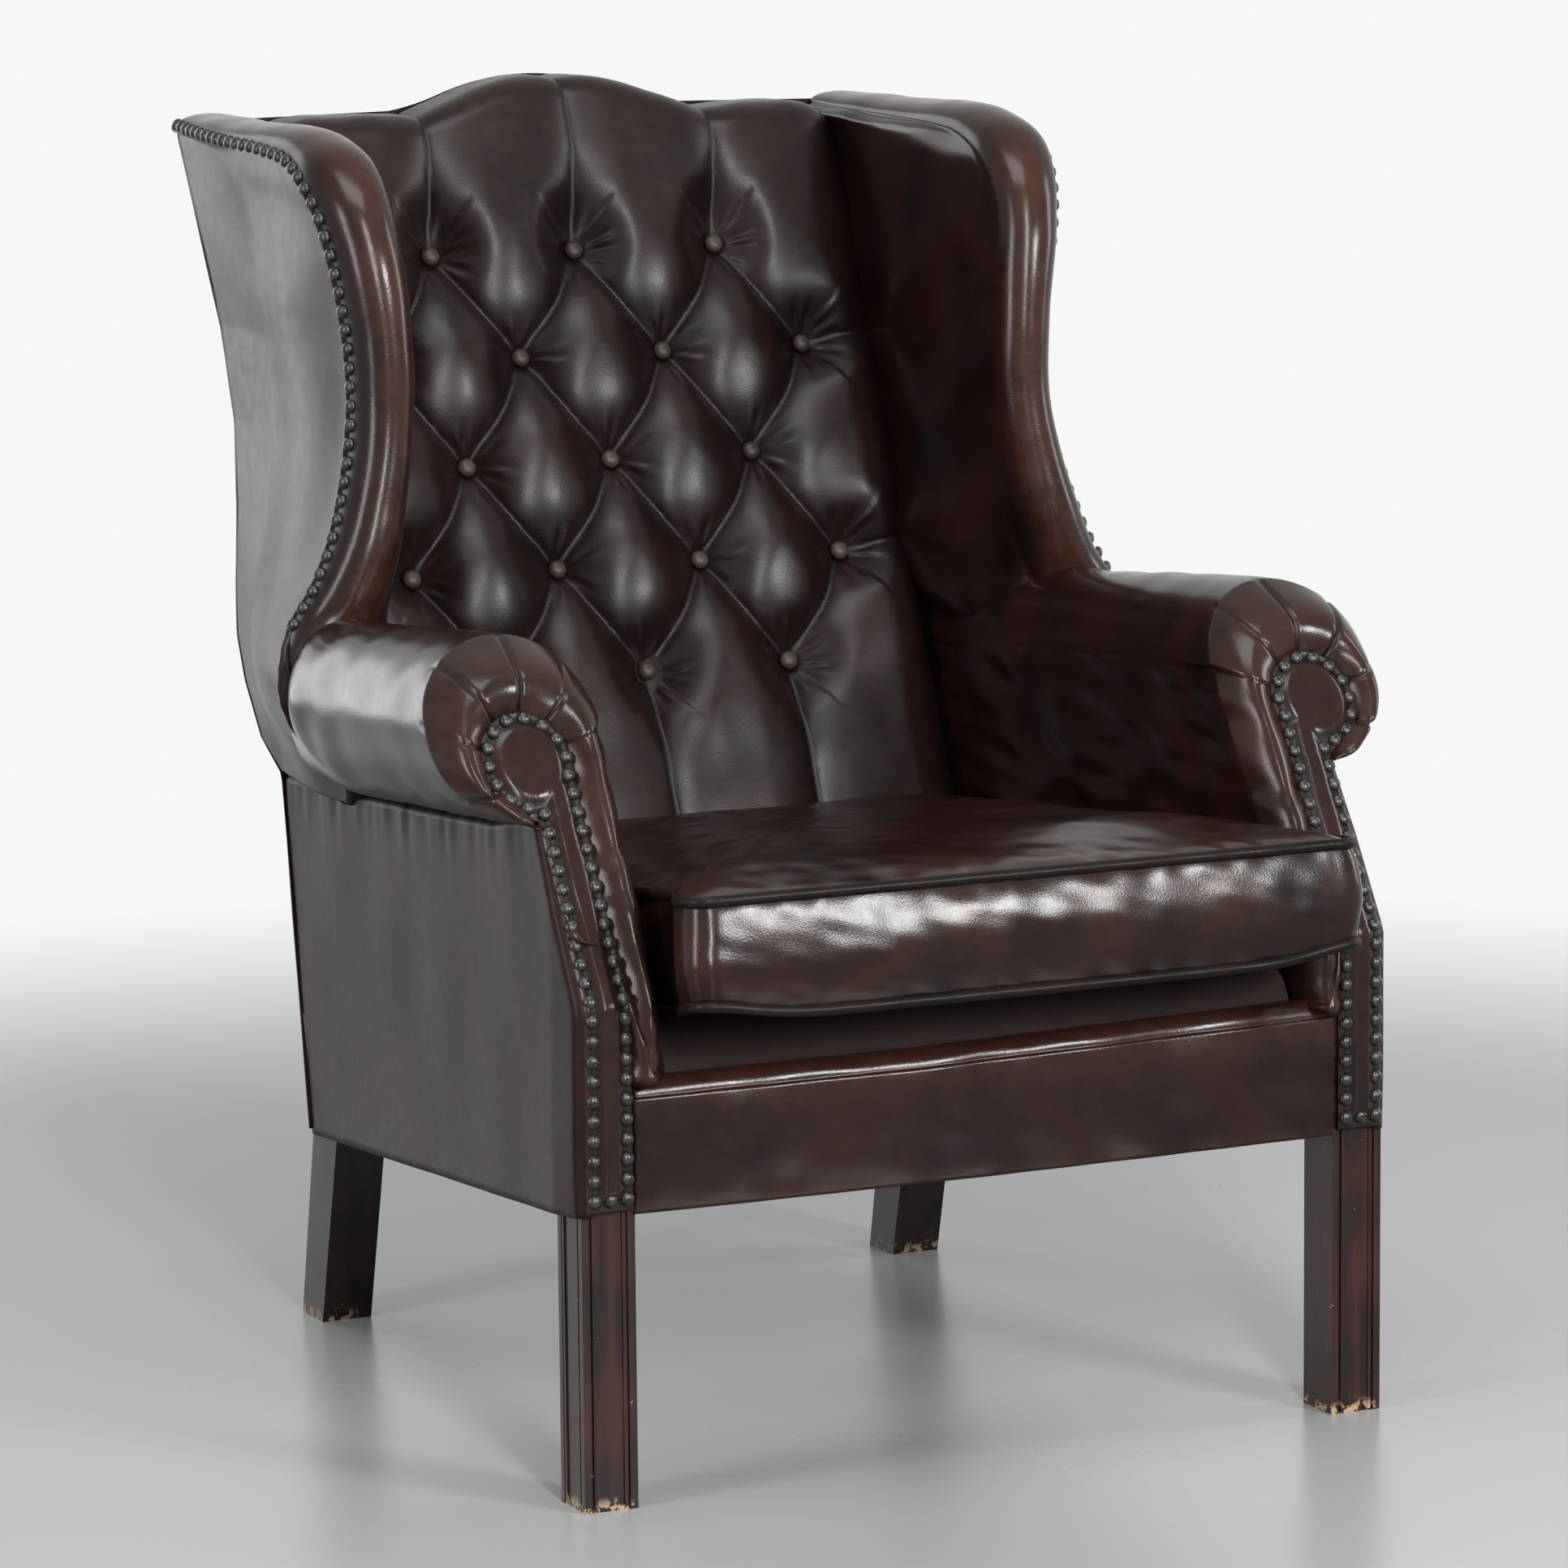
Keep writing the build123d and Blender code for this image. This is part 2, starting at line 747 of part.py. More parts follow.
def wing_rail():
    """Top rail of the wing from the stile back to the post."""
    top, _, front_outer = wing_corners(stile_level_shares[-1], 0)[:3]
    low = top - wing_rail_height
    front_y = front_outer[1] + wing_frame_setback
    outer = wing_frame_inner + wing_frame_thickness
    front = bar(wing_frame_inner, outer, low, top)
    rear = bar(back_pad_half + cover_clearance, post_outer_half, low, top)
    return cut(span(front, front_y, rear, back_y(low, post_setback)), left_rear_leg, left_wing_stile)


left_wing_stile = wing_stile()
left_wing_rail = wing_rail()


def outside_wing_cover():
    """Leather on the outside of the wing, from its nailed front edge to the back."""
    form = loft([wing_cover_section(level_shares) for level_shares in wing_level_shares])
    pieces = cut(form, arm_form(cover_clearance), side_panel(0, front_half))
    return largest(pieces)


left_wing_cover = outside_wing_cover()


def wing_pad():
    """Stuffed wing, with its rounded front roll, over the stile, rail and arm."""
    form = loft([wing_section(level_shares) for level_shares in wing_level_shares])
    room = loft([wing_cover_room(level_shares) for level_shares in wing_level_shares])
    frame = [left_wing_stile, left_wing_rail, left_rear_leg, left_arm_rail, arm_form(cover_clearance)]
    return largest(cut(form, room, *frame, side_panel(0, front_half)))


# Back

def crest_outline(drop, half, low):
    """Front view of the back's top: raised centre, two hollow shoulders, level ends."""
    top = crest_top - drop
    shoulder = top - crest_rise
    reach = crest_reach
    y = 0
    radius = ((reach / 2) ** 2 + (crest_rise / 2) ** 2) / crest_rise
    sweep_angle = atan2(reach / 2, radius - crest_rise / 2)
    middle = radius * sin(sweep_angle / 2)
    fall = radius * (1 - cos(sweep_angle / 2))
    turn = top - crest_rise / 2
    crown = (0, y, top)
    arcs = [
        Edge.make_three_point_arc((-reach / 2, y, turn), crown, (reach / 2, y, turn)),
        Edge.make_three_point_arc(
            (reach / 2, y, turn), (reach - middle, y, shoulder + fall), (reach, y, shoulder)
        ),
        Edge.make_line((reach, y, shoulder), (half, y, shoulder)),
        Edge.make_line((half, y, shoulder), (half, y, low)),
        Edge.make_line((half, y, low), (-half, y, low)),
        Edge.make_line((-half, y, low), (-half, y, shoulder)),
        Edge.make_line((-half, y, shoulder), (-reach, y, shoulder)),
        Edge.make_three_point_arc(
            (-reach, y, shoulder), (middle - reach, y, shoulder + fall), (-reach / 2, y, turn)
        ),
    ]
    return Face(Wire(arcs))


def crest_prism(drop, half, low):
    """The crest's outline carried from the front of the chair to the back."""
    return extrude(crest_outline(drop, half, low), amount=front_leg_span + crest_top, dir=(0, 1, 0))


def back_slab(near, far, low, top):
    """Slab parallel to the outside back, between two insets and two heights."""
    outline = [
        (back_y(low, near), low),
        (back_y(top, near), top),
        (back_y(top, far), top),
        (back_y(low, far), low),
    ]
    return side_plate(outline, -front_leg_span, front_leg_span)


def crest_rail():
    """Shaped top rail between the back posts."""
    near = post_setback
    far = post_setback + post_depth
    low = crest_top - crest_rise - crest_rail_depth_down
    return back_slab(near, far, low, crest_top) & crest_prism(crest_padding, post_inner_half, low)


def tack_rail():
    """Lower back rail, which the covers behind the seat are tacked to."""
    low = tack_rail_foot + back_foot_z
    slab = back_slab(post_setback, post_setback + post_depth, low, low + tack_rail_height)
    return slab & block(-post_inner_half, post_inner_half, 0, front_leg_span + crest_top, low, crest_top)


back_crest_rail = crest_rail()
back_tack_rail = tack_rail()
back_strip_column_shares = (-0.6, 0, 0.6)
back_strip_row_shares = (0.1, 0.34, 0.58, 0.82)
back_strip_inset = post_setback + post_depth
back_strip_half = back_pad_half - webbing_thickness
back_strip_top = crest_top - crest_rise - crest_rail_depth_down + webbing_width


def back_webbing():
    """Strips across the posts' front faces, with upright strips laid behind them."""
    low = tack_rail_foot + back_foot_z
    high = back_strip_top
    far = front_leg_span + crest_top
    strips = []
    for share in back_strip_row_shares:
        z = low + share * (high - low)
        slab = back_slab(back_strip_inset, back_strip_inset + webbing_thickness, z, z + webbing_width)
        strips += solids(slab & block(-back_strip_half, back_strip_half, 0, far, 0, crest_top))
    for share in back_strip_column_shares:
        x = share * post_inner_half
        half = webbing_width / 2
        near = back_strip_inset + webbing_thickness
        slab = back_slab(near, near + webbing_thickness, low, high)
        strips += solids(slab & block(x - half, x + half, 0, far, 0, crest_top))
    return strips


pad_back_inset = back_strip_inset + 2 * webbing_thickness


def tuft_out():
    """Direction straight out of the inside back."""
    return Vector(0, -cos(tuft_lean()), sin(tuft_lean()))


def tuft_frame(x, along, turn):
    """Place on the crown plane of the inside back: x across, along up the slope, turned in it."""
    lean = tuft_lean()
    foot_y = tuft_row_y - tuft_depth * cos(lean)
    foot_z = tuft_row_z + tuft_depth * sin(lean)
    origin = Vector(x, foot_y + along * sin(lean), foot_z + along * cos(lean))
    up = Vector(0, sin(lean), cos(lean))
    across = Vector(1, 0, 0)
    way = up * cos(turn) + across * sin(turn)
    return Plane(origin=origin, x_dir=tuft_out().cross(way), z_dir=way)


groove_shoulder_reach_share = 0.36
groove_shoulder_depth_share = 0.3


def groove(start, end, reach, depth):
    """Cutter for one pleat from start to end, each (x, along): two puffed flanks meeting low."""
    run_x = end[0] - start[0]
    run_along = end[1] - start[1]
    length = sqrt(run_x ** 2 + run_along ** 2)
    frame = tuft_frame(start[0], start[1], atan2(run_x, run_along))
    high = tuft_groove_overrun
    shoulder = reach * groove_shoulder_reach_share
    shoulder_depth = depth * groove_shoulder_depth_share
    top = high + overrun
    outline = make_face([
        ThreePointArc((0, -depth), (shoulder, -shoulder_depth), (reach, high)),
        Line((reach, high), (reach, top)),
        Line((reach, top), (-reach, top)),
        Line((-reach, top), (-reach, high)),
        ThreePointArc((-reach, high), (-shoulder, -shoulder_depth), (0, -depth)),
    ])
    return solids(extrude(frame * outline, amount=length))[0]


button_rows = range(5)
outer_column_share = 1.5
three_column_shares = (-1, 0, 1)
four_column_shares = (-outer_column_share, -0.5, 0.5, outer_column_share)


def button_places():
    """Buttons as (x, along): three in odd rows and four in even rows, counted from the seat."""
    places = []
    for row in button_rows:
        column_shares = four_column_shares if row % 2 else three_column_shares
        places += [(share * tuft_column, row * tuft_row) for share in column_shares]
    return places


def diagonal_pleats():
    """Straight pleats through the buttons, both ways, as pairs of end buttons in lattice steps."""
    edge = outer_column_share
    one_way = [
        ((-1, 4), (1, 0)),
        ((0, 4), (edge, 1)),
        ((1, 4), (edge, 3)),
        ((-edge, 3), (0, 0)),
        ((-edge, 1), (-1, 0)),
    ]
    other_way = [((-a, b), (-c, d)) for (a, b), (c, d) in one_way]
    return [
        ((a * tuft_column, b * tuft_row), (c * tuft_column, d * tuft_row))
        for (a, b), (c, d) in one_way + other_way
    ]


def back_pad():
    """Deep-buttoned inside back: puffed diamonds between pleats, rolled over the crest."""
    top = crest_top + overrun
    step_z = back_strip_top + cover_clearance
    front_z = tuft_row_z + (back_pad_front - tuft_y(tuft_row_z, tuft_depth)) / tan(tuft_lean())
    outline = [
        (back_pad_front, seat_z(back_pad_front, hessian_top)),
        (back_pad_front, front_z),
        (tuft_y(top, tuft_depth), top),
        (back_y(top, wing_face_inset), top),
        (back_y(step_z, wing_face_inset), step_z),
        (back_y(step_z, pad_back_inset), step_z),
        (back_y(back_foot_z + tack_rail_foot / 2, pad_back_inset), back_foot_z + tack_rail_foot / 2),
    ]
    body = side_plate(outline, -back_pad_half, back_pad_half) & crest_prism(0, back_pad_half, 0)
    front_top = [
        edge for edge in body.edges()
        if edge.center().Z > wing_top
        and abs(edge.center().Y - tuft_y(edge.center().Z, tuft_depth)) < overrun
        and abs(edge.center().X) < back_pad_half - cover_clearance
    ]
    body = fillet(front_top, crest_front_round)
    rise = crest_top / cos(tuft_lean())
    cutters = [groove(start, end, tuft_groove_reach, tuft_depth) for start, end in diagonal_pleats()]
    for share in three_column_shares:
        x = share * tuft_column
        cutters.append(groove((x, button_rows[-1] * tuft_row), (x, rise), pleat_reach, pleat_depth))
        cutters.append(groove((x, -rise), (x, 0), pleat_reach, pleat_depth))
    for side in (-1, 1):
        edge_x = side * back_pad_half
        cutters.append(groove((edge_x, -rise), (edge_x, rise), pleat_reach, tuft_depth))
        button_x = side * outer_column_share * tuft_column
        for row in button_rows[1::2]:
            ends = sorted([(button_x, row * tuft_row), (side * front_half, row * tuft_row)])
            cutters.append(groove(*ends, pleat_reach, pleat_depth))
    for x, along in button_places():
        out = Plane(origin=tuft_frame(x, along, 0).origin, z_dir=tuft_out())
        seat = button_width / 2 + cover_clearance
        well = Location((0, 0, -tuft_depth / 2)) * Cone(seat, button_well, tuft_depth)
        cutters += solids(out * well)
    frame_pieces = [back_crest_rail, left_rear_leg, mirrored(left_rear_leg)]
    return largest(cut(cut(body, cutters), *frame_pieces))


def back_buttons():
    """Covered buttons at the bottoms of the tufts, each a low dome."""
    half = button_width / 2
    ball = (half ** 2 + button_height ** 2) / (2 * button_height)
    rim = degrees(asin((ball - button_height) / ball))
    dome = Sphere(ball, arc_size1=rim, align=(Align.CENTER, Align.CENTER, Align.MIN))
    buttons = []
    for x, along in button_places():
        out = Plane(origin=tuft_frame(x, along, 0).origin, z_dir=tuft_out())
        buttons += solids(out * (Location((0, 0, cover_clearance - tuft_depth)) * dome))
    return buttons


def outside_back():
    """Plain leather panel on the back, to the same top line as the inside."""
    low = back_foot_z
    slab = back_slab(0, outside_cover_thickness, low, crest_top)
    level = crest_top - crest_rise
    outline = []
    for level_shares in wing_level_shares:
        z, rear_outer = wing_corners(level_shares, 0)[:2]
        outline.append((rear_outer[0], min(z, level)))
    side = [(cover_rear_half, low), (cover_rear_half - arm_cover_rear_lean, arm_cover_top_rear)] + outline
    points = side + [(-x, z) for x, z in reversed(side)]
    board = Face(Wire.make_polygon([(x, 0, z) for x, z in points]))
    prism = extrude(board, amount=front_leg_span + crest_top, dir=(0, 1, 0))
    centre = crest_prism(0, crest_reach + overrun, level - overrun)
    return slab & (prism + centre)


# Cushion

cushion_front_half = arm_inner_front + cushion_ear_lap
cushion_middle_half = arm_inner_front - cushion_middle_gap
cushion_rear_half = arm_inner_rear - cushion_rear_gap


def cushion_outline(spread, rise):
    """Level outline of the cushion, drawn in about its middle to a spread of 1 or less."""
    centre = (cushion_rear - cushion_front) / 2
    half = [
        (cushion_rear_half, cushion_rear),
        (cushion_middle_half, cushion_ear + cushion_ear_run - cushion_front),
        (cushion_front_half, cushion_ear - cushion_front),
        (cushion_front_half, -cushion_front),
    ]
    points = half + [(-x, y) for x, y in reversed(half)]
    radii = [cushion_corner, cushion_soft_corner, cushion_soft_corner, cushion_corner]
    radii = [radius * spread for radius in radii + radii[::-1]]
    drawn = [(x * spread, centre + (y - centre) * spread, rise) for x, y in points]
    return FilletPolyline(drawn, radius=radii, close=True)


def cushion_face(spread, rise):
    """Flat face in the cushion's outline."""
    return Face(Wire(cushion_outline(spread, rise).edges()))


cushion_foot = deck_top + cushion_clearance
lower_welt = cushion_foot + piping_radius
upper_welt = lower_welt + cushion_boxing
belly_height_shares = (0, 0.5, 1)
belly_shares = (0, 1, 0)
crown_height_shares = (0, 0.42, 0.74, 0.93, 1)
crown_spread_shares = (1, 0.93, 0.79, 0.58, 0.3)


def cushion_body():
    """Boxed cushion: sides that belly between the welts, and a crowned top."""
    base = solids(extrude(cushion_face(1, cushion_foot), amount=piping_radius, dir=(0, 0, 1)))
    boxing = loft([
        cushion_face(1 + cushion_belly * out / cushion_front_half, lower_welt + cushion_boxing * high)
        for high, out in zip(belly_height_shares, belly_shares)
    ])
    crown = loft([
        cushion_face(spread, upper_welt + cushion_crown * high)
        for high, spread in zip(crown_height_shares, crown_spread_shares)
    ])
    body = base[0].fuse(*solids(boxing), *solids(crown))
    return [solid.moved(seat_frame) for solid in largest(cut(body, *welt_rings()))]


def welt_rings():
    """Piped welts round the cushion's two edges, laid out level."""
    rings = []
    for rise in (lower_welt, upper_welt):
        path = cushion_outline(1 + (piping_radius + piping_stand) / cushion_rear_half, rise)
        start = path @ 0
        section = Plane(origin=start, z_dir=path % 0) * Circle(piping_radius)
        rings += solids(sweep(section, path=path))
    return rings


# The pieces by name

pieces = {}


def add(name, shape):
    pieces[name] = solids(shape)


def add_pair(name, shape):
    """A piece and its mirror image, as the sitter's left and right."""
    add(name + "_left", shape)
    add(name + "_right", mirrored(shape))


add_pair("front_leg", left_front_leg)
add_pair("rear_leg", left_rear_leg)
add("front_seat_rail", front_seat_rail)
add("rear_seat_rail", rear_seat_rail)
add_pair("side_seat_rail", left_side_rail)
add("corner_blocks", corner_blocks())
add("seat_webbing", seat_webbing())
add("seat_springs", seat_springs())
posts = [left_front_leg, left_rear_leg]
add("seat_hessian", seat_sheet(rail_width / 2, rail_top, hessian_top, left_arm_stump, *posts))
cloth_top = dust_cover_drop
cloth_foot = cloth_top - dust_cover_thickness
add("dust_cover", seat_sheet(rail_width / 4, cloth_foot, cloth_top, *posts))
add("seat_deck", seat_deck())
add("front_border", front_border())
add_pair("arm_stump", left_arm_stump)
add_pair("arm_rail", left_arm_rail)
add_pair("arm_facing", left_arm_facing)
add_pair("arm_pad", arm_pad())
add_pair("outside_arm_cover", outside_arm_cover())
add_pair("wing_stile", left_wing_stile)
add_pair("wing_rail", left_wing_rail)
add_pair("wing_pad", wing_pad())
add_pair("outside_wing_cover", left_wing_cover)
add("crest_rail", back_crest_rail)
add("lower_back_rail", back_tack_rail)
add("back_webbing", back_webbing())
add("back_pad", back_pad())
add("back_buttons", back_buttons())
add("outside_back", outside_back())
add("seat_cushion", cushion_body())
add("cushion_piping", [ring.moved(seat_frame) for ring in welt_rings()])

everything = Compound([solid for group in pieces.values() for solid in group])
box = everything.bounding_box()
centring = Location((-(box.min.X + box.max.X) / 2, -(box.min.Y + box.max.Y) / 2, 0))

os.makedirs("parts", exist_ok=True)
for name, group in pieces.items():
    moved = [solid.moved(centring) for solid in group]
    shape = moved[0] if len(moved) == 1 else Compound(moved)
    export_step(shape, "parts/" + name + ".step")
    print(name, len(moved), "solids", round(sum(solid.volume for solid in moved)), "mm3")
print("size", box.size, "moved by", centring.position)
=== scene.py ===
import math

import bpy
import numpy as np
from mathutils import Matrix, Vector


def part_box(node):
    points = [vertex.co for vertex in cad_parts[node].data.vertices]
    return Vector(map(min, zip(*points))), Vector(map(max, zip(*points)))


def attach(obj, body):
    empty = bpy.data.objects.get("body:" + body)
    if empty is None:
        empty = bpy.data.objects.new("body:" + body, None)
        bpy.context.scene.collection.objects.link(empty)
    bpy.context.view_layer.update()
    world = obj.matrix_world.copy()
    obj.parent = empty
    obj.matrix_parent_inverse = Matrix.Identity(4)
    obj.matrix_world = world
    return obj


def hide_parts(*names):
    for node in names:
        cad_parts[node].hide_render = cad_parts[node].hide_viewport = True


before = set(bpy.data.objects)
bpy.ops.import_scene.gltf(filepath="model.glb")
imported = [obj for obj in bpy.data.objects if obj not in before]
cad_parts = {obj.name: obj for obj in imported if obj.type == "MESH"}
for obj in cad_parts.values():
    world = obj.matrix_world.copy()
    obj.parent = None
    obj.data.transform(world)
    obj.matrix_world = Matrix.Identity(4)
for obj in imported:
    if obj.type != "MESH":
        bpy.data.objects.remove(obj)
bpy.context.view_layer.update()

# The chair stands on a pale floor that fades into a white surround, in soft light from large
# panels. Lengths are metres. Points are first worked out from the front face of the front
# legs (y = 0), the chair's centre plane (x = 0) and the floor (z = 0).
leg_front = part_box("front_leg_left")[0][1]
floor_radius = 2.6
floor_fade_from = 1.2
floor_fade_to = 2.45
floor_colour = (0.25, 0.255, 0.25, 1)
surround_colour = (0.93, 0.93, 0.93, 1)
camera_place = (-2.43793, -4.69598 + leg_front, 1.39479)
camera_turn = math.radians(-25.6554)
camera_fall = math.radians(9.0205)
camera_roll = math.radians(-0.532)
camera_lens = 154.5
film_width = 36
surround_light = 0.35
panel_aim = (0, 0, 0.7)


def add_node(tree, kind, settings=None, **inputs):
    """A shader node with its settings and the values or links of its inputs."""
    node = tree.nodes.new(kind)
    for name, value in (settings or {}).items():
        setattr(node, name, value)
    for name, value in inputs.items():
        feed(tree, node, name.replace("_", " "), value)
    return node


def feed(tree, node, name, value):
    """Sets one input of a node, or links it when the value is another node's socket. A name such
    as _1 stands for the input of that number."""
    socket = node.inputs[int(name[1:])] if name[1:].isdigit() else node.inputs[name]
    if isinstance(value, bpy.types.NodeSocket):
        tree.links.new(value, socket)
    else:
        socket.default_value = value


def new_material(name):
    """An empty material with its output node, ready for its own nodes."""
    material = bpy.data.materials.new(name)
    material.use_nodes = True
    tree = material.node_tree
    tree.nodes.clear()
    output = tree.nodes.new("ShaderNodeOutputMaterial")
    return material, tree, output


view = bpy.data.cameras.new("view")
view.lens = camera_lens
view.sensor_width = film_width
view.clip_end = 60
camera = bpy.data.objects.new("view", view)
camera.matrix_world = (
    Matrix.Translation(camera_place)
    @ Matrix.Rotation(camera_turn, 4, "Z")
    @ Matrix.Rotation(math.pi / 2 - camera_fall, 4, "X")
    @ Matrix.Rotation(camera_roll, 4, "Z")
)
bpy.context.scene.collection.objects.link(camera)
bpy.context.scene.camera = camera
bpy.context.scene.view_settings.view_transform = "Standard"

turns = np.linspace(0, 2 * math.pi, 96, endpoint=False)
rim = np.stack([floor_radius * np.cos(turns), floor_radius * np.sin(turns), 0 * turns], -1)
floor_mesh = bpy.data.meshes.new("floor")
floor_mesh.from_pydata(rim.tolist(), [], [list(range(len(rim)))])
floor = bpy.data.objects.new("floor", floor_mesh)
bpy.context.scene.collection.objects.link(floor)

material, tree, output = new_material("pale_floor")
place = add_node(tree, "ShaderNodeTexCoord").outputs["Object"]
distance = add_node(tree, "ShaderNodeVectorMath", {"operation": "LENGTH"}, Vector=place)
cloud = add_node(tree, "ShaderNodeTexNoise", Vector=place, Scale=1.6, Detail=6, Roughness=0.6)
tone = add_node(
    tree, "ShaderNodeMapRange",
    Value=cloud.outputs[0], From_Min=0.2, From_Max=0.8, To_Min=0.25, To_Max=0.29,
)
fade = add_node(
    tree, "ShaderNodeMapRange", {"interpolation_type": "SMOOTHSTEP"},
    Value=distance.outputs["Value"], From_Min=floor_fade_from, From_Max=floor_fade_to,
)
matt = add_node(
    tree, "ShaderNodeBsdfPrincipled", Base_Color=floor_colour, Roughness=tone.outputs[0],
)
bright = add_node(tree, "ShaderNodeEmission", Color=surround_colour, Strength=1.0)
mixed = add_node(
    tree, "ShaderNodeMixShader", Fac=fade.outputs[0], _1=matt.outputs[0], _2=bright.outputs[0],
)
feed(tree, output, "Surface", mixed.outputs[0])
floor_mesh.materials.append(material)

world = bpy.data.worlds.new("surround")
bpy.context.scene.world = world
world.use_nodes = True
tree = world.node_tree
tree.nodes.clear()
path = add_node(tree, "ShaderNodeLightPath").outputs
seen = add_node(
    tree, "ShaderNodeMath", {"operation": "MAXIMUM"},
    _0=path["Is Camera Ray"], _1=path["Is Transmission Ray"],
).outputs[0]
seen = add_node(
    tree, "ShaderNodeMath", {"operation": "MAXIMUM"}, _0=seen, _1=path["Is Glossy Ray"],
).outputs[0]
background_seen = add_node(tree, "ShaderNodeBackground", Color=surround_colour, Strength=1.0)
background_light = add_node(
    tree, "ShaderNodeBackground", Color=surround_colour, Strength=surround_light,
)
mixed = add_node(
    tree, "ShaderNodeMixShader",
    Fac=seen, _1=background_light.outputs[0], _2=background_seen.outputs[0],
)
world_output = tree.nodes.new("ShaderNodeOutputWorld")
feed(tree, world_output, "Surface", mixed.outputs[0])


def add_panel(name, place, size, power, aim=panel_aim):
    """A rectangular light panel at place, turned about Z and then tilted so that it faces aim."""
    lamp = bpy.data.lights.new(name, "AREA")
    lamp.shape = "RECTANGLE"
    lamp.size, lamp.size_y = size
    lamp.energy = power
    holder = bpy.data.objects.new(name, lamp)
    gaze = np.array(aim, float) - np.array(place, float)
    turn = math.atan2(-gaze[0], gaze[1])
    tilt = math.atan2(math.hypot(gaze[0], gaze[1]), -gaze[2])
    holder.matrix_world = (
        Matrix.Translation(place) @ Matrix.Rotation(turn, 4, "Z") @ Matrix.Rotation(tilt, 4, "X")
    )
    bpy.context.scene.collection.objects.link(holder)


add_panel("rear_left_panel", (-1.5, 3.4, 1.5), (1.6, 2.6), 42)
add_panel("tall_front_panel", (-0.8, -3.6, 2.1), (0.40, 2.6), 150)
add_panel("side_front_panel", (1.2, -3.1, 1.5), (0.65, 0.65), 95)
add_panel("left_panel", (-3.0, -0.9, 1.4), (0.6, 2.0), 60)
add_panel("overhead_panel", (-0.4, -0.8, 2.9), (1.4, 1.0), 34, aim=(0, 0, 0.4))
add_panel("right_panel", (3.0, -0.6, 1.5), (0.5, 1.8), 30, aim=(0, 0, 0.6))

# Legs: solid mahogany, stained dark and polished. The front ones are squared with small
# mouldings down their faces, and the feet are chipped to pale wood at the edges.
chip_colour = (0.36, 0.24, 0.15, 1)
grain_stretch = 0.045


def mixed_colour(tree, amount, first, second):
    """Two colours mixed by an amount from 0 to 1."""
    node = add_node(tree, "ShaderNodeMix", {"data_type": "RGBA"})
    feed(tree, node, "_0", amount)
    feed(tree, node, "_6", first)
    feed(tree, node, "_7", second)
    return node.outputs[2]


def ranged(tree, value, low, high, to_low=0.0, to_high=1.0):
    """A value mapped smoothly from low..high to to_low..to_high and held outside."""
    node = add_node(
        tree, "ShaderNodeMapRange", {"interpolation_type": "SMOOTHSTEP"},
        Value=value, From_Min=low, From_Max=high, To_Min=to_low, To_Max=to_high,
    )
    return node.outputs[0]


def sum_of(tree, first, second, share=1.0):
    """First plus second times share."""
    node = add_node(
        tree, "ShaderNodeMath", {"operation": "MULTIPLY_ADD"}, _0=second, _1=share, _2=first,
    )
    return node.outputs[0]


def product(tree, first, second):
    """First times second."""
    node = add_node(tree, "ShaderNodeMath", {"operation": "MULTIPLY"}, _0=first, _1=second)
    return node.outputs[0]


def noise(tree, place, scale, detail, **more):
    """Smooth noise from 0 to 1 about a half, at a scale per metre."""
    node = add_node(tree, "ShaderNodeTexNoise", Vector=place, Scale=scale, Detail=detail, **more)
    return node.outputs[0]


def wood(name, dark, light, gloss, chips):
    """Polished wood: noise drawn out up and down as grain and pores, dark to light, with broad
    clouds, and pale chips where spots of noise are strong near the floor."""
    material, tree, output = new_material(name)
    place = add_node(tree, "ShaderNodeTexCoord").outputs["Object"]
    drawn = add_node(
        tree, "ShaderNodeVectorMath", {"operation": "MULTIPLY"},
        _0=place, _1=(1, 1, grain_stretch),
    ).outputs[0]
    grain = noise(tree, drawn, 120, 5)
    pores = noise(tree, drawn, 900, 2)
    cloud = noise(tree, place, 14, 4)
    tone = ranged(tree, sum_of(tree, grain, cloud, 0.7), 0.62, 1.08)
    colour = mixed_colour(tree, tone, dark, light)
    height = add_node(tree, "ShaderNodeSeparateXYZ", Vector=place).outputs["Z"]
    spots = noise(tree, place, 95, 4, Roughness=0.7)
    near_floor = ranged(tree, height, 0.002, 0.013, chips, 0.0)
    chip = product(tree, ranged(tree, spots, 0.50, 0.56), near_floor)
    nick = product(tree, ranged(tree, spots, 0.70, 0.73), chips)
    colour = mixed_colour(tree, sum_of(tree, chip, nick), colour, chip_colour)
    raised = add_node(tree, "ShaderNodeBump", Strength=0.25, Distance=0.0003, Height=pores)
    surface = add_node(
        tree, "ShaderNodeBsdfPrincipled",
        Base_Color=colour, Roughness=sum_of(tree, gloss, cloud, 0.18), Normal=raised.outputs[0],
        Specular_IOR_Level=0.26,
    )
    feed(tree, output, "Surface", surface.outputs[0])
    return material


def dress(names, material):
    """Puts one material on the frame's own nodes."""
    for name in names:
        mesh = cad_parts[name].data
        mesh.materials.clear()
        mesh.materials.append(material)


front_mahogany = wood(
    "front_mahogany", (0.005, 0.0020, 0.0018, 1), (0.026, 0.0075, 0.0058, 1),
    gloss=0.24, chips=0.85,
)
# The rear legs take a darker copy of the same mahogany: painted shade for legs that stand in the
# chair's shadow.
shaded_rear_mahogany = wood(
    "shaded_rear_mahogany", (0.003, 0.0018, 0.0016, 1), (0.010, 0.0048, 0.0040, 1),
    gloss=0.28, chips=0.5,
)
dress(["front_leg_left", "front_leg_right"], front_mahogany)
dress(["rear_leg_left", "rear_leg_right"], shaded_rear_mahogany)

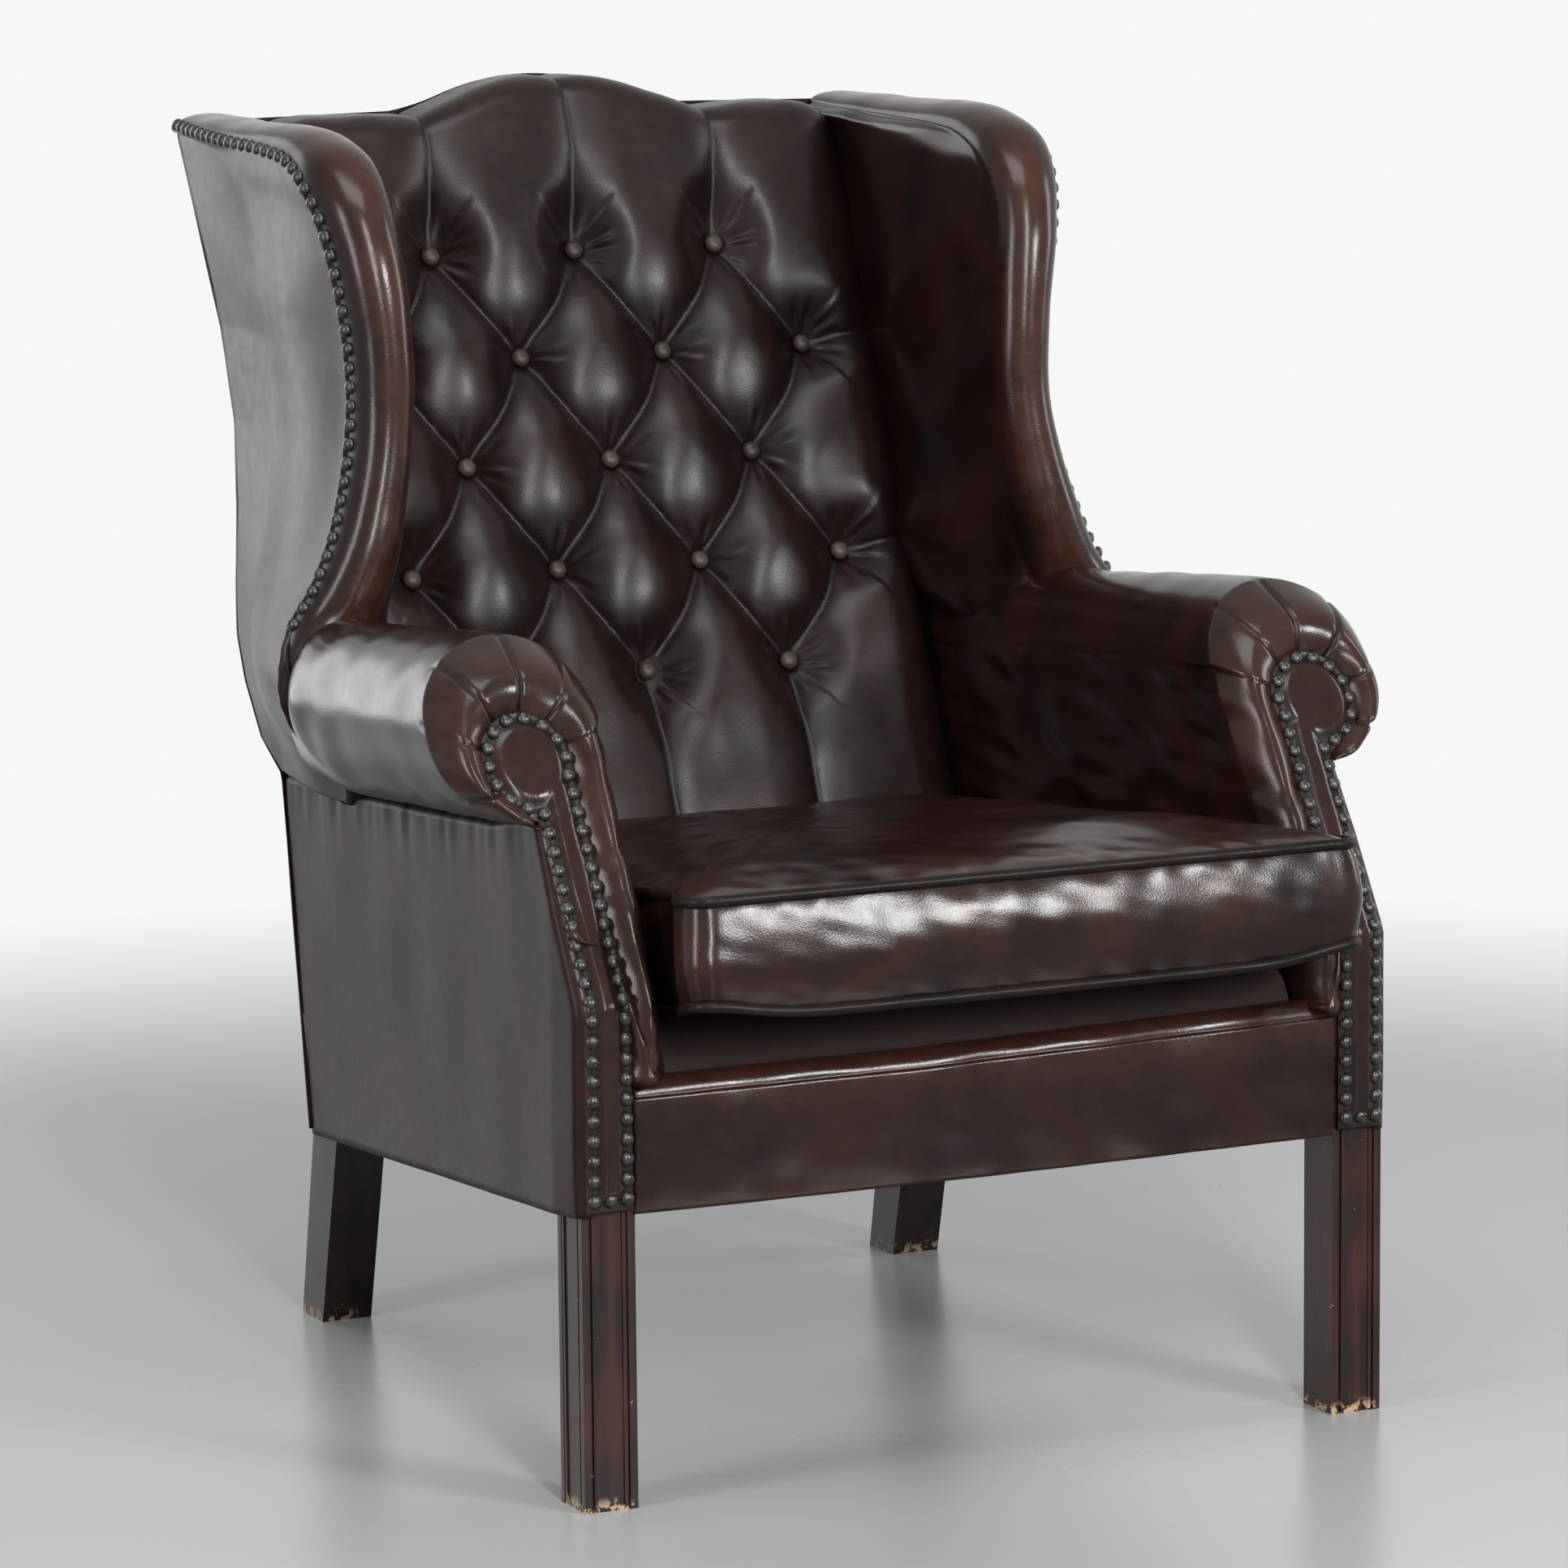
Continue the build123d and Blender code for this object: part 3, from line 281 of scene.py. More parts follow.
# Frame: rails, stumps, stiles and corner blocks of unpolished beech, glued and dowelled
# together. All of it is hidden by the covers.
beech = wood("beech", (0.40, 0.27, 0.16, 1), (0.60, 0.44, 0.29, 1), gloss=0.5, chips=0.0)
dress(["front_seat_rail", "rear_seat_rail", "corner_blocks"], beech)
dress(["crest_rail", "lower_back_rail"], beech)
for part in ("side_seat_rail", "arm_stump", "arm_rail", "wing_stile", "wing_rail"):
    dress([part + "_left", part + "_right"], beech)

# Webbing: woven jute strips, stretched hard and tacked. Under the seat three run each way to
# carry the springs. Behind the back's stuffing four cross the posts and three hang between them.
web_width = 0.050
web_thick = 0.0017
web_columns = (-0.175, 0, 0.175)
web_rows = (0.159, 0.353, 0.547)
web_front = 0.008
web_rear = 0.698
web_half = 0.350
back_web_rows = (0.472, 0.614, 0.756, 0.898)
back_web_columns = (-0.148, 0, 0.148)
back_web_half = 0.272
back_web_low = 0.416
back_web_high = 1.002
back_web_length = 0.5995
back_web_inset = 0.0500
back_web_step = 0.0020
side_closing = 0.0901
seat_slope = math.radians(5.7)
deck_front_rise = 0.242
frame_lean = math.radians(12.2)
frame_foot = (0.712, 0.173)


def closed_surface(rings, joined=False):
    """Points, quads and fans of a closed surface through rings, an array (rings, points round,
    xyz). A fan to its middle closes each end, unless the last ring joins the first. The faces
    are turned outwards by the enclosed volume."""
    rings = np.asarray(rings, float)
    rows, cols = rings.shape[:2]
    points = rings.reshape(-1, 3)
    row, col = np.meshgrid(np.arange(rows if joined else rows - 1), np.arange(cols), indexing="ij")
    here, onward, beside = row * cols, (row + 1) % rows * cols, (col + 1) % cols
    quads = np.stack([here + col, here + beside, onward + beside, onward + col], -1).reshape(-1, 4)
    fans = np.zeros((0, 3), int)
    if not joined:
        points = np.vstack([points, rings[0].mean(0), rings[-1].mean(0)])
        ring = np.arange(cols)
        ahead = (ring + 1) % cols
        last = (rows - 1) * cols
        fans = np.vstack([
            np.stack([ahead, ring, np.full(cols, rows * cols)], -1),
            np.stack([last + ring, last + ahead, np.full(cols, rows * cols + 1)], -1),
        ])
    corners = np.vstack([quads[:, [0, 1, 2]], quads[:, [0, 2, 3]], fans])
    a, b, c = (points[corners[:, k]] for k in range(3))
    if np.einsum("ij,ij->i", a, np.cross(b, c)).sum() < 0:
        quads, fans = quads[:, ::-1], fans[:, ::-1]
    return points, quads, fans


def merged(name, surfaces, joined=False):
    """One object made of several closed surfaces."""
    points, faces, base = [], [], 0
    for rings in surfaces:
        more, quads, fans = closed_surface(rings, joined)
        faces += (quads + base).tolist() + (fans + base).tolist()
        points.append(more)
        base += len(more)
    mesh = bpy.data.meshes.new(name)
    mesh.from_pydata((np.vstack(points) + (0, leg_front, 0)).tolist(), [], faces)
    mesh.shade_smooth()
    piece = bpy.data.objects.new(name, mesh)
    bpy.context.scene.collection.objects.link(piece)
    return piece


def on_seat(across, along, rise):
    """Points of the sloping seat as points of the chair: turned down by the seat's slope about
    the front rail's foot and lifted to its height."""
    y = along * math.cos(seat_slope) + rise * math.sin(seat_slope)
    z = deck_front_rise - along * math.sin(seat_slope) + rise * math.cos(seat_slope)
    return np.stack([across + 0 * y, y, z + 0 * across], -1)


def back_plane(z, inset=0.0):
    """Depth of the raked back's outer face at height z, or of the plane inset before it."""
    face = frame_foot[0] + (z - frame_foot[1]) * math.tan(frame_lean)
    return face - inset / math.cos(frame_lean)


def unit(vectors):
    """Vectors divided by their own length."""
    return vectors / np.maximum(np.linalg.norm(vectors, axis=-1, keepdims=True), 1e-9)


def seat_strip(start, end, rise):
    """A strip's closed rings from start to end, two (across, along) points, at one level."""
    start, end = np.array(start), np.array(end)
    ahead = unit(end - start)
    side = np.array([-ahead[1], ahead[0]]) * web_width / 2
    share = np.linspace(0, 1, 24)[:, None]
    middle = start + (end - start) * share
    left, right = middle + side, middle - side
    corners = [(left, rise), (right, rise), (right, rise - web_thick), (left, rise - web_thick)]
    return np.stack([on_seat(place[:, 0], place[:, 1], level) for place, level in corners], 1)


def cloth(name, light, dark, threads):
    """Plain woven cloth: the product of two crossed wave patterns, so many threads a metre, plus
    noise for the slubs, shades it from dark to light and raises it."""
    material, tree, output = new_material(name)
    place = add_node(tree, "ShaderNodeTexCoord").outputs["Object"]
    slub = noise(tree, place, threads / 6, 3)
    warp, weft = (
        add_node(
            tree, "ShaderNodeTexWave", {"bands_direction": way},
            Vector=place, Scale=threads, Distortion=0.6,
        ).outputs["Fac"]
        for way in ("X", "Y")
    )
    weave = product(tree, warp, weft)
    tone = product(tree, sum_of(tree, weave, slub, 0.8), 0.7)
    raised = add_node(tree, "ShaderNodeBump", Strength=0.6, Distance=0.0004, Height=weave)
    surface = add_node(
        tree, "ShaderNodeBsdfPrincipled",
        Base_Color=mixed_colour(tree, tone, dark, light), Roughness=0.85, Normal=raised.outputs[0],
        Specular_IOR_Level=0.2,
    )
    feed(tree, output, "Surface", surface.outputs[0])
    return material


def lay(piece, nodes, slot, material, **declared):
    """Dresses a stretched sheet: its material, body and the CAD nodes it stands for. The slot is
    not used.
    """
    piece.data.materials.append(material)
    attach(piece, "chair")
    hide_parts(*nodes)


strips = [seat_strip((x, web_front), (x, web_rear), 0.0058) for x in web_columns]
length = len(web_columns) * (web_rear - web_front)
for y in web_rows:
    reach = web_half - side_closing * y
    strips.append(seat_strip((-reach, y), (reach, y), 0.0038))
    length += 2 * reach
jute_web = cloth("jute_webbing", (0.45, 0.34, 0.21, 1), (0.21, 0.15, 0.09, 1), 260)
lay(merged("seat_strips", strips), ["seat_webbing"], "webbing", jute_web, flat=(web_width, length))

strips = []
insets = back_web_inset + web_thick * np.array([[0, 0, 1, 1]])
for low in back_web_rows:
    x = np.linspace(-back_web_half, back_web_half, 24)[:, None]
    z = low + web_width * np.array([[0, 1, 1, 0]])
    strips.append(np.stack([x + 0 * z, back_plane(z, insets) + 0 * x, z + 0 * x], -1))
for middle in back_web_columns:
    z = np.linspace(back_web_low, back_web_high, 24)[:, None]
    x = middle + web_width / 2 * np.array([[-1, 1, 1, -1]])
    strips.append(np.stack([x + 0 * z, back_plane(z, insets + back_web_step), z + 0 * x], -1))
length = 2 * back_web_half * len(back_web_rows) + back_web_length * len(back_web_columns)
lay(merged("back_strips", strips), ["back_webbing"], "webbing", jute_web, flat=(web_width, length))

# Springs: coppered steel wire, shown as the closed form that the turns fill, with the turns
# as ridges.
coppered_steel, tree, output = new_material("coppered_steel")
place = add_node(tree, "ShaderNodeTexCoord").outputs["Object"]
coils = add_node(
    tree, "ShaderNodeTexWave", {"bands_direction": "Z"}, Vector=place, Scale=22,
).outputs["Fac"]
stain = noise(tree, place, 60, 3)
# The bands between the turns are painted dark: painted shade in the gaps between the wire.
tint = mixed_colour(
    tree, ranged(tree, coils, 0.3, 0.7), (0.05, 0.03, 0.02, 1), (0.52, 0.34, 0.24, 1),
)
raised = add_node(tree, "ShaderNodeBump", Strength=1.0, Distance=0.003, Height=coils)
surface = add_node(
    tree, "ShaderNodeBsdfPrincipled",
    Base_Color=tint, Roughness=ranged(tree, stain, 0.3, 0.7, 0.25, 0.5), Normal=raised.outputs[0],
    Metallic=0.9,
)
feed(tree, output, "Surface", surface.outputs[0])
dress(["seat_springs"], coppered_steel)

# Hessian: plain jute cloth stretched over the springs and tacked on the rails. It is cut in at
# the front beside the arm stumps and at the back between the posts.
hessian_front_half = 0.312
post_half = 0.2515
post_front = 0.656
stump_rear = 0.173
spring_top = 0.0995
cloth_thick = 0.0008


def shell(name, rings, **masks):
    """An object of one closed surface, with masks given point by point for its material."""
    piece = merged(name, [rings])
    for mask, values in masks.items():
        values = np.clip(np.asarray(values, float), 0, 1)
        flat = np.concatenate([values.ravel(), [values[0].mean(), values[-1].mean()]])
        piece.data.attributes.new(mask, "FLOAT", "POINT").data.foreach_set("value", flat)
    return piece


def laid_sheet(name, along, half, rise):
    """A closed sheet over rows at depths along, each from -half to half, at a rise given for
    (rows, shares across), and its area, the sum of the strips between its rows."""
    share = np.linspace(-1, 1, rise.shape[1])[None, :]
    top = on_seat(half[:, None] * share, along[:, None] + 0 * share, rise)
    foot = on_seat(half[:, None] * share, along[:, None] + 0 * share, rise - cloth_thick)
    area = ((half[1:] + half[:-1]) * np.diff(along)).sum()
    return shell(name, np.concatenate([top, foot[:, ::-1]], 1)), float(area)


along = np.concatenate([
    np.linspace(0.046, 0.172, 12), np.linspace(0.174, 0.655, 40), np.linspace(0.658, 0.690, 6),
])
half = 0.344 - side_closing * along
half = np.where(along < stump_rear, np.minimum(half, hessian_front_half), half)
half = np.where(along > post_front, post_half, half)
flat_rise = spring_top + 0.0010 + 0 * along[:, None] * np.ones((1, 24))
hessian, area = laid_sheet("hessian", along, half, flat_rise)
jute = cloth("jute_hessian", (0.52, 0.41, 0.27, 1), (0.24, 0.18, 0.11, 1), 220)
lay(hessian, ["seat_hessian"], "hessian", jute, flat=(0.66, 0.644), area=area)

# Seat deck: a stuffed platform under the cushion, in brown platform cloth. Its front edge is
# a firm roll of hair, and it lies on the hessian over the springs.
deck_half = 0.282
deck_roll = 0.046
deck_front = 0.049
deck_rise = 0.1465
deck_foot = 0.1018


def ripple(first, second, wavelength, seed, waves=14):
    """A smooth uneven surface of about 1 each way: the sum of sine waves of like length and any
    direction, over the square root of their number."""
    random = np.random.default_rng(seed)
    total = 0
    for _ in range(waves):
        turn = random.uniform(0, 2 * math.pi)
        pace = 2 * math.pi / wavelength * random.uniform(0.6, 1.4)
        start = random.uniform(0, 2 * math.pi)
        total = total + np.sin(pace * (first * math.cos(turn) + second * math.sin(turn)) + start)
    return total / math.sqrt(waves)


def upholster(piece, nodes, material, body="chair"):
    """Dresses a stuffed piece: its material, body and the CAD nodes it stands for."""
    piece.data.materials.append(material)
    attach(piece, body)
    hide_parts(*nodes)


turn = np.linspace(0, math.pi / 2, 16)
top_run = np.linspace(0.06, 0.565, 40)
rear_run = np.linspace(0, 1, 8)
under_run = np.linspace(0.55, 0.02, 20)
section = np.concatenate([
    [deck_front - deck_roll * np.cos(turn), spring_top + 0.001 + deck_roll * np.sin(turn)],
    [top_run, deck_rise + 0 * top_run],
    [0.568 + 0 * rear_run, 0.144 - 0.041 * rear_run],
    [under_run, deck_foot + 0 * under_run],
], 1)
across = deck_half * np.sin(np.linspace(-math.pi / 2, math.pi / 2, 60))[:, None]
edge = 1 - 0.10 * (abs(across) / deck_half) ** 14
dents = 0.0012 * ripple(across, section[:1], 0.12, 101) * (section[1:] > 0.12)
rise = deck_foot + (section[1:] - deck_foot) * edge + dents
rings = on_seat(across, section[:1], rise)
deck_cloth = cloth("deck_cloth", (0.020, 0.010, 0.009, 1), (0.008, 0.004, 0.004, 1), 300)
upholster(shell("seat_platform", rings), ["seat_deck"], deck_cloth)

# Hide: every cover is cut from one stock of waxed antique leather, dyed a dark oxblood over
# brown. The dye is rubbed thin and tan where people touch it. Folds, pleats and channels are
# painted near black as painted shade. Each cover's mesh says where it is rubbed and folded.
hide_colour = (0.0100, 0.0031, 0.0031, 1)
hide_dark = (0.0042, 0.0015, 0.0017, 1)
hide_rubbed = (0.033, 0.0135, 0.0080, 1)
# Near-black colour of the painted shade in folds, pleats and channels.
hide_fold = (0.0016, 0.0011, 0.0011, 1)
cloud_scale = 11
mottle_scale = 70
pore_scale = 620
crack_scale = 85
crack_warp = 0.012
crack_share = -0.3
mottle_gloss = 0.14
fold_gloss = 0.35


def group_maker(name, ins, outs):
    """A node group with its input and output sockets: (name, kind, default) and (name, kind)."""
    tree = bpy.data.node_groups.new(name, "ShaderNodeTree")
    for socket, kind, default in ins:
        made = tree.interface.new_socket(name=socket, in_out="INPUT", socket_type=kind)
        made.default_value = default
    for socket, kind in outs:
        tree.interface.new_socket(name=socket, in_out="OUTPUT", socket_type=kind)
    return tree, tree.nodes.new("NodeGroupInput"), tree.nodes.new("NodeGroupOutput")


worn_shaded_leather, group_in, group_out = group_maker(
    "worn_shaded_leather",
    [
        ("Hide", "NodeSocketColor", hide_colour),
        ("Dark", "NodeSocketColor", hide_dark),
        ("Rubbed", "NodeSocketColor", hide_rubbed),
        ("Fold shade", "NodeSocketColor", hide_fold),
        ("Gloss", "NodeSocketFloat", 0.3),
    ],
    [
        ("Color", "NodeSocketColor"),
        ("Roughness", "NodeSocketFloat"),
        ("Height", "NodeSocketFloat"),
    ],
)
tree = worn_shaded_leather
place = add_node(tree, "ShaderNodeTexCoord").outputs["Object"]
rub = add_node(tree, "ShaderNodeAttribute", {"attribute_name": "rub"}).outputs["Fac"]
fold = add_node(tree, "ShaderNodeAttribute", {"attribute_name": "fold"}).outputs["Fac"]
cloud = noise(tree, place, cloud_scale, 5, Roughness=0.6)
mottle = noise(tree, place, mottle_scale, 4, Roughness=0.6)
warp = add_node(tree, "ShaderNodeTexNoise", Vector=place, Scale=45, Detail=2).outputs["Color"]
warped = add_node(
    tree, "ShaderNodeVectorMath", {"operation": "MULTIPLY_ADD"},
    _0=warp, _1=(crack_warp, crack_warp, crack_warp), _2=place,
)
dyed = ranged(tree, cloud, 0.32, 0.62)
base = mixed_colour(tree, dyed, group_in.outputs["Dark"], group_in.outputs["Hide"])
worn = product(tree, rub, ranged(tree, sum_of(tree, cloud, mottle, 0.6), 0.45, 1.1, 0.35, 1.25))
colour = mixed_colour(tree, worn, base, group_in.outputs["Rubbed"])
# Painted shade: the fold shade mask darkens the colour toward near black in folds and creases.
colour = mixed_colour(tree, fold, colour, group_in.outputs["Fold shade"])
pores = add_node(tree, "ShaderNodeTexVoronoi", Vector=place, Scale=pore_scale).outputs["Distance"]
cell = add_node(
    tree, "ShaderNodeTexVoronoi", {"feature": "DISTANCE_TO_EDGE"},
    Vector=warped.outputs[0], Scale=crack_scale,
).outputs["Distance"]
patchy = ranged(tree, cloud, 0.42, 0.6)
crack = product(tree, ranged(tree, cell, 0.0, 0.09, 1.0, 0.0), patchy)
height = sum_of(tree, pores, mottle, 0.8)
height = sum_of(tree, height, crack, crack_share)
gloss = sum_of(tree, group_in.outputs["Gloss"], mottle, mottle_gloss)
gloss = sum_of(tree, gloss, fold, fold_gloss)
feed(tree, group_out, "Color", colour)
feed(tree, group_out, "Roughness", gloss)
feed(tree, group_out, "Height", height)


def leather(name, gloss=0.145, shine=0.20, bump=0.0002, **colours):
    """Waxed leather: the worn hide's colour with its painted fold shade, and roughness over its
    pores and fine cracks.

    Gloss is the roughness of the wax, shine the strength of its reflection and bump the height
    of the pores. Colours replace the stock's own by the name of the group's socket."""
    material, tree, output = new_material(name)
    hide = tree.nodes.new("ShaderNodeGroup")
    hide.node_tree = worn_shaded_leather
    feed(tree, hide, "Gloss", gloss)
    for socket, colour in colours.items():
        feed(tree, hide, socket, colour)
    raised = add_node(
        tree, "ShaderNodeBump", Strength=0.22, Distance=bump, Height=hide.outputs["Height"],
    )
    surface = add_node(
        tree, "ShaderNodeBsdfPrincipled", Base_Color=hide.outputs["Color"],
        Roughness=hide.outputs["Roughness"], Normal=raised.outputs[0], Specular_IOR_Level=shine,
    )
    feed(tree, output, "Surface", surface.outputs[0])
    return material


cover_leather = leather("cover_leather")

# Inside back: one hide stuffed with hair and drawn down in diamonds by seventeen buttons,
# with pleats from button to button, up over the crest and down behind the seat. It leans
# back further than the frame behind it.
column_pitch = 0.1383
row_pitch = 0.0977
button_row_y = 0.6596
button_row_z = 0.562
tuft_lean = math.radians(22.3)
tuft_depth = 0.030
pleat_rise = 0.011
pleat_reach = 0.060
back_half = 0.276
back_edge_level = 0.006
back_edge_reach = 0.05
panel_gap = 0.0033
crest_top = 1.078
crest_fall = 0.032
crest_reach = 0.17
crest_front_radius = 0.030
crest_rear_radius = 0.010
pleat_bow = 0.0045
pleat_line = 0.0032
pleat_lip = 0.10
upright_bend = 0.006
upright_reach = 0.052
upright_line = 0.0024
side_pleat_reach = 0.045
side_pleat_line = 0.0026
side_pleat_drop = 0.10
gather_height = 0.0011
gather_radius = 0.019
gather_width = 0.013
well_depth = 0.004
well_radius = 0.009


def puff(share, round_power=2.0, edge_power=0.70):
    """Rise of stuffed leather from a pleat (0) to the middle (1): steep first, then level."""
    share = np.clip(share, 0, 1)
    return (1 - (1 - share) ** round_power) ** edge_power


def smooth_step(value, low, high):
    """Zero up to low, one from high on, and between them 3 s squared less 2 s cubed."""
    share = np.clip((value - low) / (high - low), 0, 1)
    return share * share * (3 - 2 * share)


def crest_height(x):
    """Height of the back's top line: two equal arcs down from the raised middle, then level."""
    radius = ((crest_reach / 2) ** 2 + (crest_fall / 2) ** 2) / crest_fall
    near = np.minimum(abs(x), crest_reach / 2)
    far = np.clip(crest_reach - abs(x), 0, crest_reach / 2)
    crown = crest_top - radius + np.sqrt(radius ** 2 - near ** 2)
    hollow = crest_top - crest_fall + radius - np.sqrt(radius ** 2 - far ** 2)
    return np.where(abs(x) < crest_reach / 2, crown, hollow)


button_spots = []
for row in range(5):
    for column in ((-1, 0, 1) if row % 2 == 0 else (-1.5, -0.5, 0.5, 1.5)):
        button_spots.append((column * column_pitch, row * row_pitch))

slants = [
    ((-1, 4), (1, 0)), ((0, 4), (1.5, 1)), ((1, 4), (1.5, 3)),
    ((-1.5, 3), (0, 0)), ((-1.5, 1), (-1, 0)),
]
slants += [((-start, high), (-end, low)) for (start, high), (end, low) in slants]


def tuft_surface(x, along):
    """Height over the buttons' plane, and the painted shade in its pleats, button wells and
    hollows, at x across and along the slope.

    Each pleat is a line. The share of the full stuffing rises from the pleat's own level at the
    line to one at its reach, and the shares of all the pleats are multiplied."""
    full = tuft_depth * (1.15 + 0.03 * ripple(x, along, 0.11, 3))
    total = 1
    line = np.full(np.broadcast(x, along).shape, 1.0)

    def take(distance, level, reach):
        nonlocal total
        total = total * (level / full + (1 - level / full) * puff(distance / reach))

    for (x_from, row_from), (x_to, row_to) in slants:
        cells = abs(row_to - row_from)
        start = np.array([x_from * column_pitch, row_from * row_pitch])
        step = (np.array([x_to * column_pitch, row_to * row_pitch]) - start) / cells
        length = math.hypot(*step)
        travel = ((x - start[0]) * step[0] + (along - start[1]) * step[1]) / length ** 2
        side = ((x - start[0]) * step[1] - (along - start[1]) * step[0]) / length
        bow = pleat_bow * np.sin(math.pi * travel) ** 2 * np.sign(step[0])
        held = np.clip(travel, 0, cells)
        away = np.hypot(side - bow, (travel - held) * length)
        middle = np.sin(math.pi * abs(held - np.round(held))) ** 0.8
        lip = 1 + pleat_lip * np.sign(side - bow) * np.sign(step[0])
        take(away * lip, pleat_rise * middle, pleat_reach)
        line = np.minimum(line, away / pleat_line + 0.35 * middle)
    for column in (-1, 0, 1):
        for way, end in ((1, 4 * row_pitch), (-1, 0)):
            beyond = way * (along - end)
            bend = column * column_pitch + way * upright_bend * np.sin(beyond / 0.09)
            away = np.hypot(x - bend, np.minimum(beyond, 0))
            level = full * 0.72 * smooth_step(beyond, -0.01, 0.10)
            take(away, level, upright_reach)
            line = np.minimum(line, away / upright_line + 0.25 * smooth_step(beyond, 0.05, 0.2))
    for side in (-1, 1):
        for row in (1, 3):
            beyond = side * x - 1.5 * column_pitch
            over = along - row * row_pitch - side_pleat_drop * np.maximum(beyond, 0)
            away = np.hypot(over, np.minimum(beyond, 0))
            take(away, full * 0.45 * smooth_step(beyond, 0, 0.04), side_pleat_reach)
            line = np.minimum(line, away / side_pleat_line + 0.3)
        beside = back_half - side * x
        take(np.maximum(beside, 0), back_edge_level, back_edge_reach)
    height = full * total
    wrinkle = 0
    shade = 0
    for count, (spot_x, spot_along) in enumerate(button_spots):
        radius = np.hypot(x - spot_x, along - spot_along)
        turn = np.arctan2(along - spot_along, x - spot_x)
        close = np.exp(-((radius - gather_radius) / gather_width) ** 2)
        fan = np.sin(11 * turn + 1.7 * count) + 0.7 * np.sin(17 * turn + 2.9 * count)
        wrinkle = wrinkle + gather_height * close * fan
        height = height - well_depth * np.exp(-(radius / well_radius) ** 2)
        shade = np.maximum(shade, np.exp(-(radius / 0.012) ** 2))
    wrinkle = wrinkle + 0.0002 * ripple(x * 1.3, along * 0.7, 0.060, 9)
    height = height + wrinkle * smooth_step(height, 0.001, 0.012)
    # Painted shade: the pleat lines, the button wells and the low ground between the puffs are
    # darkened.
    fold = np.maximum(0.95 * np.exp(-line ** 2), 0.9 * shade)
    fold = np.maximum(fold, 0.45 * (1 - smooth_step(height, 0.0, 0.015)))
    return height, fold


def back_profile(x, along):
    """Point and outward direction on the stuffed back's smooth form: straight up the slope,
    round over the crest, level, round down the back and down behind it."""
    lean_cos, lean_sin = math.cos(tuft_lean), math.sin(tuft_lean)
    top = crest_height(x)
    crown_z = button_row_z + tuft_depth * lean_sin
    crown_y = button_row_y - tuft_depth * lean_cos
    front_z = top - crest_front_radius
    front_y = crown_y + (front_z - crown_z) * math.tan(tuft_lean) + crest_front_radius / lean_cos
    rise_end = (front_z - crown_z + crest_front_radius * lean_sin) / lean_cos
    rear_z = top - crest_rear_radius
    rear_y = back_plane(rear_z, panel_gap + crest_rear_radius)
    arc = crest_front_radius * (math.pi / 2 - tuft_lean)
    level = rear_y - front_y
    rear_arc = crest_rear_radius * (math.pi / 2 + frame_lean)
    after_rise = along - rise_end
    after_arc = after_rise - arc
    after_level = after_arc - level
    after_rear = after_level - rear_arc
    turn = math.pi - tuft_lean - np.clip(after_rise, 0, arc) / crest_front_radius
    turn = turn - np.clip(after_level, 0, rear_arc) / crest_rear_radius
    out_y, out_z = np.cos(turn), np.sin(turn)
    on_slope = after_rise < 0
    on_front = (after_rise >= 0) & (after_arc < 0)
    on_level = (after_arc >= 0) & (after_level < 0)
    on_rear = (after_level >= 0) & (after_rear < 0)
    y = np.select(
        [on_slope, on_front, on_level, on_rear],
        [
            crown_y + along * lean_sin,
            front_y + crest_front_radius * out_y,
            front_y + after_arc,
            rear_y + crest_rear_radius * out_y,
        ],
        rear_y + crest_rear_radius * math.cos(frame_lean) - after_rear * math.sin(frame_lean),
    )
    z = np.select(
        [on_slope, on_front, on_level, on_rear],
        [
            crown_z + along * lean_cos,
            front_z + crest_front_radius * out_z,
            top,
            rear_z + crest_rear_radius * out_z,
        ],
        rear_z - crest_rear_radius * math.sin(frame_lean) - after_rear * math.cos(frame_lean),
    )
    return y, z, out_y, out_z


across = np.linspace(-back_half, back_half, 236)
rows_hidden = np.linspace(-0.235, -0.125, 14)
rows_shown = np.linspace(-0.123, 0.50, 268)
rows_over = np.linspace(0.503, 0.70, 62)
along = np.concatenate([rows_hidden, rows_shown, rows_over])
unfolded = np.zeros((len(across), 8))
x, slope = np.meshgrid(across, along, indexing="ij")
height, fold = tuft_surface(x, np.minimum(slope, 0.60))
y, z, out_y, out_z = back_profile(x, slope)
lift = (height - tuft_depth) * (1 - 0.55 * smooth_step(slope, 0.50, 0.60))
lift = lift * (1 - smooth_step(slope, 0.60, 0.64))
front = np.stack([x, y + out_y * lift, z + out_z * lift], -1)
closing = np.linspace(0, 1, 10)[None, 1:-1, None]
rings = np.concatenate([front, front[:, -1:] + (front[:, :1] - front[:, -1:]) * closing], 1)
fold = np.concatenate([fold, unfolded], 1)
rub = np.concatenate([0.16 * smooth_step(height, 0.022, 0.032), unfolded], 1)
upholster(shell("inside_back", rings, fold=fold, rub=rub), ["back_pad"], cover_leather)

